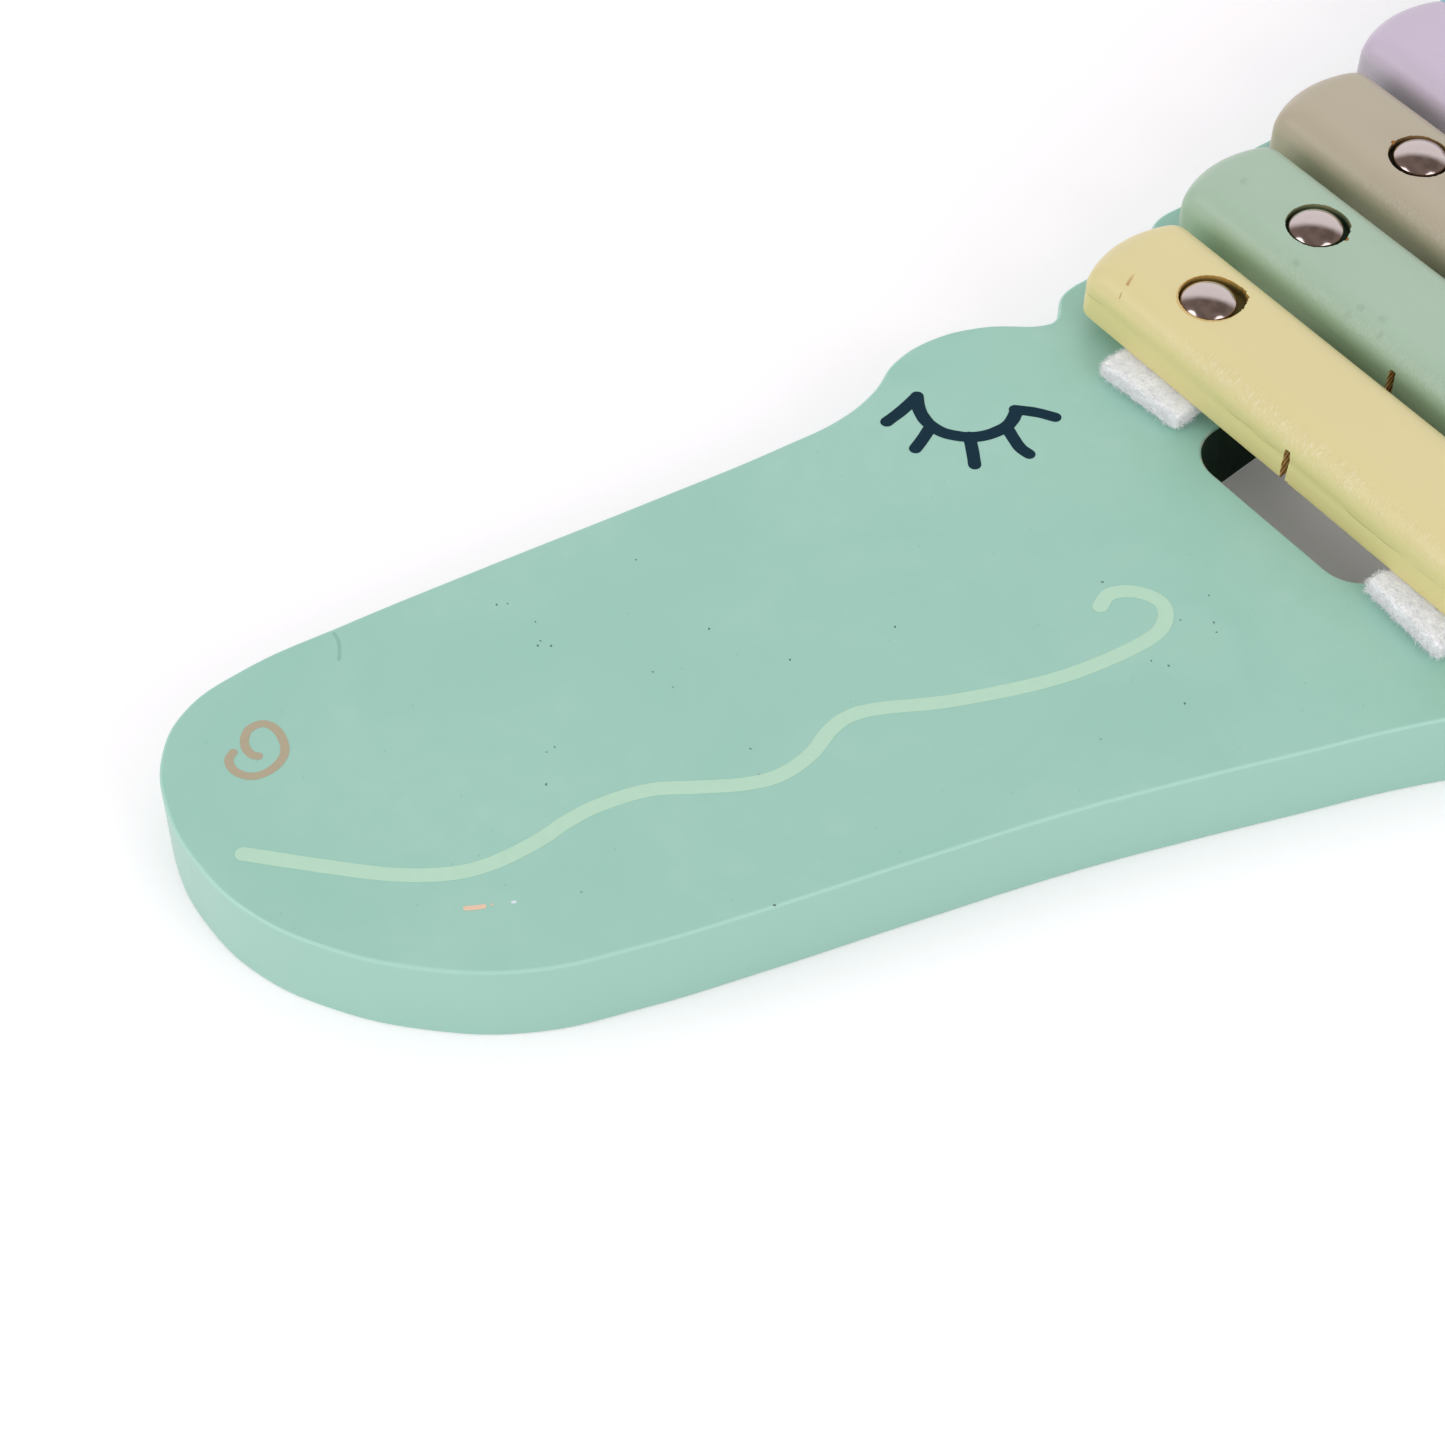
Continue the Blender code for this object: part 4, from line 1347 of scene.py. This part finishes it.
def vector_prop(name, description, default):
    return FloatVectorProperty(name=name, description=description, default=default, subtype="XYZ")


def place_prop(name, description, default):
    return FloatVectorProperty(name=name, description=description, default=default, subtype="XYZ",
                               unit="LENGTH")


class BoardSettings(bpy.types.PropertyGroup):
    """The board's eased edge and its paints."""

    edge_round: length_prop("Edge round", "Radius of the board's eased edges", 0.0005)
    edge_steps: count_prop("Edge steps", "Curve steps across the eased edge", 3)
    outline_steps: count_prop("Outline steps", "Curve steps between outline points", 10)
    paint: colour_prop("Paint", "Colour of the board", (0.299, 0.578, 0.477))
    haze: colour_prop("Haze", "Pale tint in the paint's clouding and on its edges", (0.50, 0.66, 0.60))
    # Painted highlight: the pale line along the outline's eased top edge
    highlit: colour_prop("Rubbed", "Pale paint along the board's rubbed edges", (0.52, 0.78, 0.69))
    sheen: number_prop("Sheen", "Strength of the paint's gloss", 0.9)
    # Painted reflection: a greyer tint on the cut sides that stands in for the pale floor's glancing
    # reflection
    side_sheen_tint: vector_prop("Side tint", "How the paint's colour changes on the cut sides",
                           (1.01, 0.95, 0.965))
    dusty: number_prop("Dusty", "Pale bloom of the matt paint at low angles", 0.28)
    # Painted shade: the dark colour given to the opening's wall stands in for its shade
    slot_painted_shade: colour_prop("Opening's wall", "Colour of the soaked wall in the opening",
                           (0.020, 0.048, 0.032))
    bare_edge: colour_prop("Worn edge", "Colour where paint has rubbed off an edge", (0.58, 0.60, 0.48))


class FaceSettings(bpy.types.PropertyGroup):
    """The painted face: widths of its strokes and colours of its inks."""

    proud: length_prop("Ink height", "How far the ink stands off the paint", 0.00004)
    mouth_width: length_prop("Mouth width", "Width of the mouth's line", 0.0023)
    lid_width: length_prop("Eyelid width", "Width of the closed eye's line", 0.0021)
    lash_width: length_prop("Lash width", "Width of each eyelash", 0.0020)
    nostril_width: length_prop("Nostril width", "Width of the nostril's curl", 0.00125)
    fleck_width: length_prop("Fleck width", "Width of stray flecks of paint", 0.00075)
    board: colour_prop("Board", "Colour of the board under the face", (0.318, 0.585, 0.485))
    fleck: colour_prop("Fleck", "Colour of the peach fleck", (0.80, 0.55, 0.40))
    mouth: colour_prop("Mouth", "Ink of the mouth", (0.470, 0.700, 0.545))
    eye: colour_prop("Eye", "Ink of the eye", (0.005, 0.028, 0.048))
    nostril: colour_prop("Nostril", "Ink of the nostril", (0.44, 0.37, 0.255))


class BarSettings(bpy.types.PropertyGroup):
    """The bars: their rounding, holes and tuning cuts, and one paint for each bar."""

    top_round: length_prop("Top round", "Height of the rounding along the top edges", 0.0054)
    round_inset: length_prop("Round inset", "Width of that rounding", 0.0060)
    round_power: number_prop("Round power", "2 is a plain ellipse, more is squarer", 2.15)
    end_radius: length_prop("End radius", "Radius of the bowed ends", 0.0175)
    end_corner: length_prop("End corner", "Radius of the upright corners", 0.0025)
    bottom_ease: length_prop("Bottom ease", "Ease of the bottom edges", 0.0004)
    corner_steps: count_prop("Corner steps", "Steps round an upright corner", 5)
    end_steps: count_prop("End steps", "Steps along a bowed end", 16)
    side_steps: count_prop("Side steps", "Steps along a long side", 48)
    round_steps: count_prop("Round steps", "Steps over the top round", 12)
    wall_steps: count_prop("Wall steps", "Steps up the upright wall", 7)
    waviness: length_prop("Waviness", "Unevenness left by sanding", 0.00007)
    groove: length_prop("Groove", "Depth of the groove along a side", 0.00032)
    groove_height: length_prop("Groove height", "Height of the groove above the bottom", 0.0043)
    groove_width: length_prop("Groove width", "Half width of the groove", 0.0009)
    recess_radius: length_prop("Recess radius", "Radius of the recess round a nail head", 0.0049)
    recess_depth: length_prop("Recess depth", "Depth of that recess", 0.0019)
    hole_radius: length_prop("Hole radius", "Radius of a nail hole", 0.0024)
    ragged_depth: length_prop("Ragged depth", "How deep a rim is broken", 0.0005)
    ragged_width: length_prop("Ragged width", "How far a rim is broken back", 0.00016)
    kerf_width: length_prop("Saw cut width", "Width of the tuning cut", 0.0013)
    kerf_depth: length_prop("Saw cut depth", "Depth of the tuning cut", 0.0062)
    kerf_uneven: length_prop("Saw cut unevenness", "Wander of the saw", 0.00010)
    tear_height: length_prop("Tear height", "Height of the torn fibres in the cut's end", 0.0022)
    paint_in_cuts: number_prop("Paint in cuts", "Share of paint on the sawn wood", 0.02)
    wrinkle: number_prop("Wrinkle", "Height of the paint's wrinkles on the roundings", 1.0)
    # Painted light: bounced green on the first bar's sides, shade between the bars on the others'
    first_side_bounce_tint: vector_prop("First side", "How the paint turns on the first bar's sides", (0.98, 1.02, 0.87))
    other_sides_shade_tint: vector_prop("Other sides", "How the paint turns on the other bars' sides",
                             (0.84, 0.92, 0.82))
    torn_rim: colour_prop("Torn rim", "Torn wood round the first recess", (0.62, 0.40, 0.13))
    # Painted highlight on the wrinkles
    glint: number_prop("Glint", "Paleness of the paint's wrinkles where light glances off them", 0.36)
    # Painted shade: how dark the recesses' walls are painted
    soak: number_prop("Soak", "Strength of the dark paint in the recesses", 1.0)
    sheen: number_prop("Sheen", "Strength of the paint's gloss", 0.5)
    wood: colour_prop("Wood", "Wood darkened by the saw", (0.80, 0.37, 0.08))
    torn_wood: colour_prop("Torn wood", "Fresh wood where fibres tore", (1.0, 0.74, 0.34))
    dent: colour_prop("Dent", "Wood that shows in a dent", (0.40, 0.17, 0.03))
    yellow: colour_prop("Yellow", "Paint of the first bar", (0.755, 0.645, 0.325))
    sage: colour_prop("Sage", "Paint of the second bar", (0.385, 0.520, 0.400))
    taupe: colour_prop("Taupe", "Paint of the third bar", (0.470, 0.405, 0.300))
    lilac: colour_prop("Lilac", "Paint of the fourth bar", (0.590, 0.490, 0.620))
    sky: colour_prop("Sky", "Paint of the fifth bar", (0.330, 0.540, 0.740))
    rose: colour_prop("Rose", "Paint of the sixth bar", (0.700, 0.430, 0.430))
    apricot: colour_prop("Apricot", "Paint of the seventh bar", (0.760, 0.490, 0.290))
    mint: colour_prop("Mint", "Paint of the eighth bar", (0.440, 0.660, 0.560))


class FeltSettings(bpy.types.PropertyGroup):
    """The felt strips and their loose fibres."""

    felt_width: length_prop("Width", "Width of a strip", 0.016)
    felt_grid: length_prop("Grid", "Spacing of the felt's own points", 0.0009)
    felt_ease: length_prop("Ease", "How round the edges are worn", 0.0007)
    lump_size: length_prop("Lump size", "Size of the lumps in the wool", 0.0016)
    lump_height: length_prop("Lump height", "Height of those lumps", 0.00025)
    swell: length_prop("Swell", "Rise between the bars", 0.00022)
    swell_reach: length_prop("Swell reach", "Distance from a bar to the full rise", 0.0015)
    open_share: number_prop("Open share", "How much more fuzz the open parts have", 8.0)
    fuzz_height: length_prop("Fuzz height", "How far fibres stand over the felt", 0.0007)
    fibre_count: count_prop("Fibres", "Loose fibres on a strip", 26000)
    fibre_length: length_prop("Fibre length", "Length of a usual loose fibre", 0.0011)
    fibre_radius: length_prop("Fibre radius", "Radius of a loose fibre", 0.000030)
    wool: colour_prop("Wool", "Colour of the felt", (0.955, 0.962, 0.980))
    # The felt's glow is painted light, not a lamp
    glow: number_prop("Glow", "Light that the white fibres scatter among themselves", 0.13)


class NailSettings(bpy.types.PropertyGroup):
    """The domed nails."""

    head_radius: length_prop("Head radius", "Radius of the domed head", 0.00435)
    crown: length_prop("Crown", "Height of the dome over its rim", 0.0019)
    rim: length_prop("Rim", "Thickness of the head's rim", 0.0005)
    shank_radius: length_prop("Shank radius", "Radius of the shank", 0.0013)
    point_length: length_prop("Point length", "Length of the point", 0.0028)
    plate: colour_prop("Plate", "Colour of the nickel", (0.60, 0.51, 0.50))


class StageSettings(bpy.types.PropertyGroup):
    """Floor, light and camera."""

    floor_size: length_prop("Floor size", "Width of the floor", 8.0)
    paper: colour_prop("Paper", "Colour of the floor", (0.95, 0.95, 0.955))
    paper_near: vector_prop("Paper near", "The floor to the eye, close to the toy", (1.045, 1.000, 1.028))
    paper_reach: length_prop("Paper reach", "Distance where the floor is plain white to the eye", 1.5)
    shade_lift: number_prop("Shade lift", "How much the floor's shade is lifted to the eye", 0.08)
    sky_strength: number_prop("Sky strength", "Light from all round", 0.785)
    snout_lamp_place: place_prop("Snout lamp place", "Place of the lamp beyond the snout",
                                 (-1.33, 0.39, 0.76))
    snout_lamp_size: length_prop("Snout lamp size", "Width of that lamp", 0.95)
    snout_lamp_power: number_prop("Snout lamp power", "Power of that lamp", 5.4)
    tail_lamp_place: place_prop("Tail lamp place", "Place of the lamp before the tail", (0.01, -1.30, 0.74))
    tail_lamp_size: length_prop("Tail lamp size", "Width of that lamp", 0.95)
    tail_lamp_power: number_prop("Tail lamp power", "Power of that lamp", 4.6)
    room_reach: length_prop("Room reach", "Radius of the dome that gloss shows", 2.6)
    wall_direction: vector_prop("Wall direction", "Direction of the bright wall", (0.718, 0.646, 0.259))
    wall_edge: number_prop("Wall edge", "Cosine of the angle that the wall takes up from its middle", 0.61)
    dim_tone: colour_prop("Dim tone", "Tone of the dim room", (0.205, 0.165, 0.142))
    camera_place: place_prop("Camera place", "Place of the camera", (-0.3494, -0.204974, 0.376893))
    camera_turn: FloatVectorProperty(name="Camera turn", description="Rotation of the camera",
                                     default=(0.684171, -0.008048, -0.656268), subtype="EULER")
    camera_lens: number_prop("Lens", "Focal length on a 36 mm wide frame, in mm", 82.2145)


class XYLOPHONE_OT_board(bpy.types.Operator):
    """Make the painted board"""

    bl_idname = "xylophone.board"
    bl_label = "Board"

    def execute(self, context):
        make_board(context.scene.xylophone_board)
        return {"FINISHED"}


class XYLOPHONE_OT_face(bpy.types.Operator):
    """Paint the crocodile's face on the board"""

    bl_idname = "xylophone.face"
    bl_label = "Painted face"

    def execute(self, context):
        make_face(context.scene.xylophone_face)
        return {"FINISHED"}


class XYLOPHONE_OT_bars(bpy.types.Operator):
    """Make the eight tuned bars"""

    bl_idname = "xylophone.bars"
    bl_label = "Bars"

    def execute(self, context):
        for number in range(len(COLOURS)):
            make_bar(number, context.scene.xylophone_bars)
        return {"FINISHED"}


class XYLOPHONE_OT_felts(bpy.types.Operator):
    """Make the two felt strips under the bars"""

    bl_idname = "xylophone.felts"
    bl_label = "Felt strips"

    def execute(self, context):
        for side in SIDES:
            make_felt(side, context.scene.xylophone_felts)
        return {"FINISHED"}


class XYLOPHONE_OT_nails(bpy.types.Operator):
    """Make the sixteen domed nails"""

    bl_idname = "xylophone.nails"
    bl_label = "Nails"

    def execute(self, context):
        make_nails(context.scene.xylophone_nails)
        return {"FINISHED"}


class XYLOPHONE_OT_stage(bpy.types.Operator):
    """Make the floor, the lights and the camera"""

    bl_idname = "xylophone.stage"
    bl_label = "Stage"

    def execute(self, context):
        settings = context.scene.xylophone_stage
        make_floor(settings)
        make_room(settings)
        make_lights(settings)
        make_camera(settings)
        return {"FINISHED"}


class XYLOPHONE_PT_panel(bpy.types.Panel):
    """Sizes, colours and steps of the xylophone"""

    bl_idname = "XYLOPHONE_PT_panel"
    bl_label = "Crocodile Xylophone"
    bl_space_type = "VIEW_3D"
    bl_region_type = "UI"
    bl_category = "Xylophone"

    def draw(self, context):
        for group, (_, operator) in GROUPS.items():
            box = self.layout.box()
            box.operator(operator.bl_idname)
            settings = getattr(context.scene, group)
            for name in settings.__annotations__:
                box.prop(settings, name)


GROUPS = {
    "xylophone_stage": (StageSettings, XYLOPHONE_OT_stage),
    "xylophone_board": (BoardSettings, XYLOPHONE_OT_board),
    "xylophone_face": (FaceSettings, XYLOPHONE_OT_face),
    "xylophone_felts": (FeltSettings, XYLOPHONE_OT_felts),
    "xylophone_bars": (BarSettings, XYLOPHONE_OT_bars),
    "xylophone_nails": (NailSettings, XYLOPHONE_OT_nails),
}


def register():
    for group, (settings, operator) in GROUPS.items():
        bpy.utils.register_class(settings)
        bpy.utils.register_class(operator)
        setattr(bpy.types.Scene, group, PointerProperty(type=settings))
    bpy.utils.register_class(XYLOPHONE_PT_panel)


def unregister():
    bpy.utils.unregister_class(XYLOPHONE_PT_panel)
    for group, (settings, operator) in GROUPS.items():
        delattr(bpy.types.Scene, group)
        bpy.utils.unregister_class(operator)
        bpy.utils.unregister_class(settings)


def main():
    register()
    bpy.context.scene.view_settings.view_transform = "Standard"
    bpy.ops.xylophone.stage()
    bpy.ops.xylophone.board()
    bpy.ops.xylophone.face()
    bpy.ops.xylophone.felts()
    bpy.ops.xylophone.bars()
    bpy.ops.xylophone.nails()


if __name__ == "__main__":
    main()
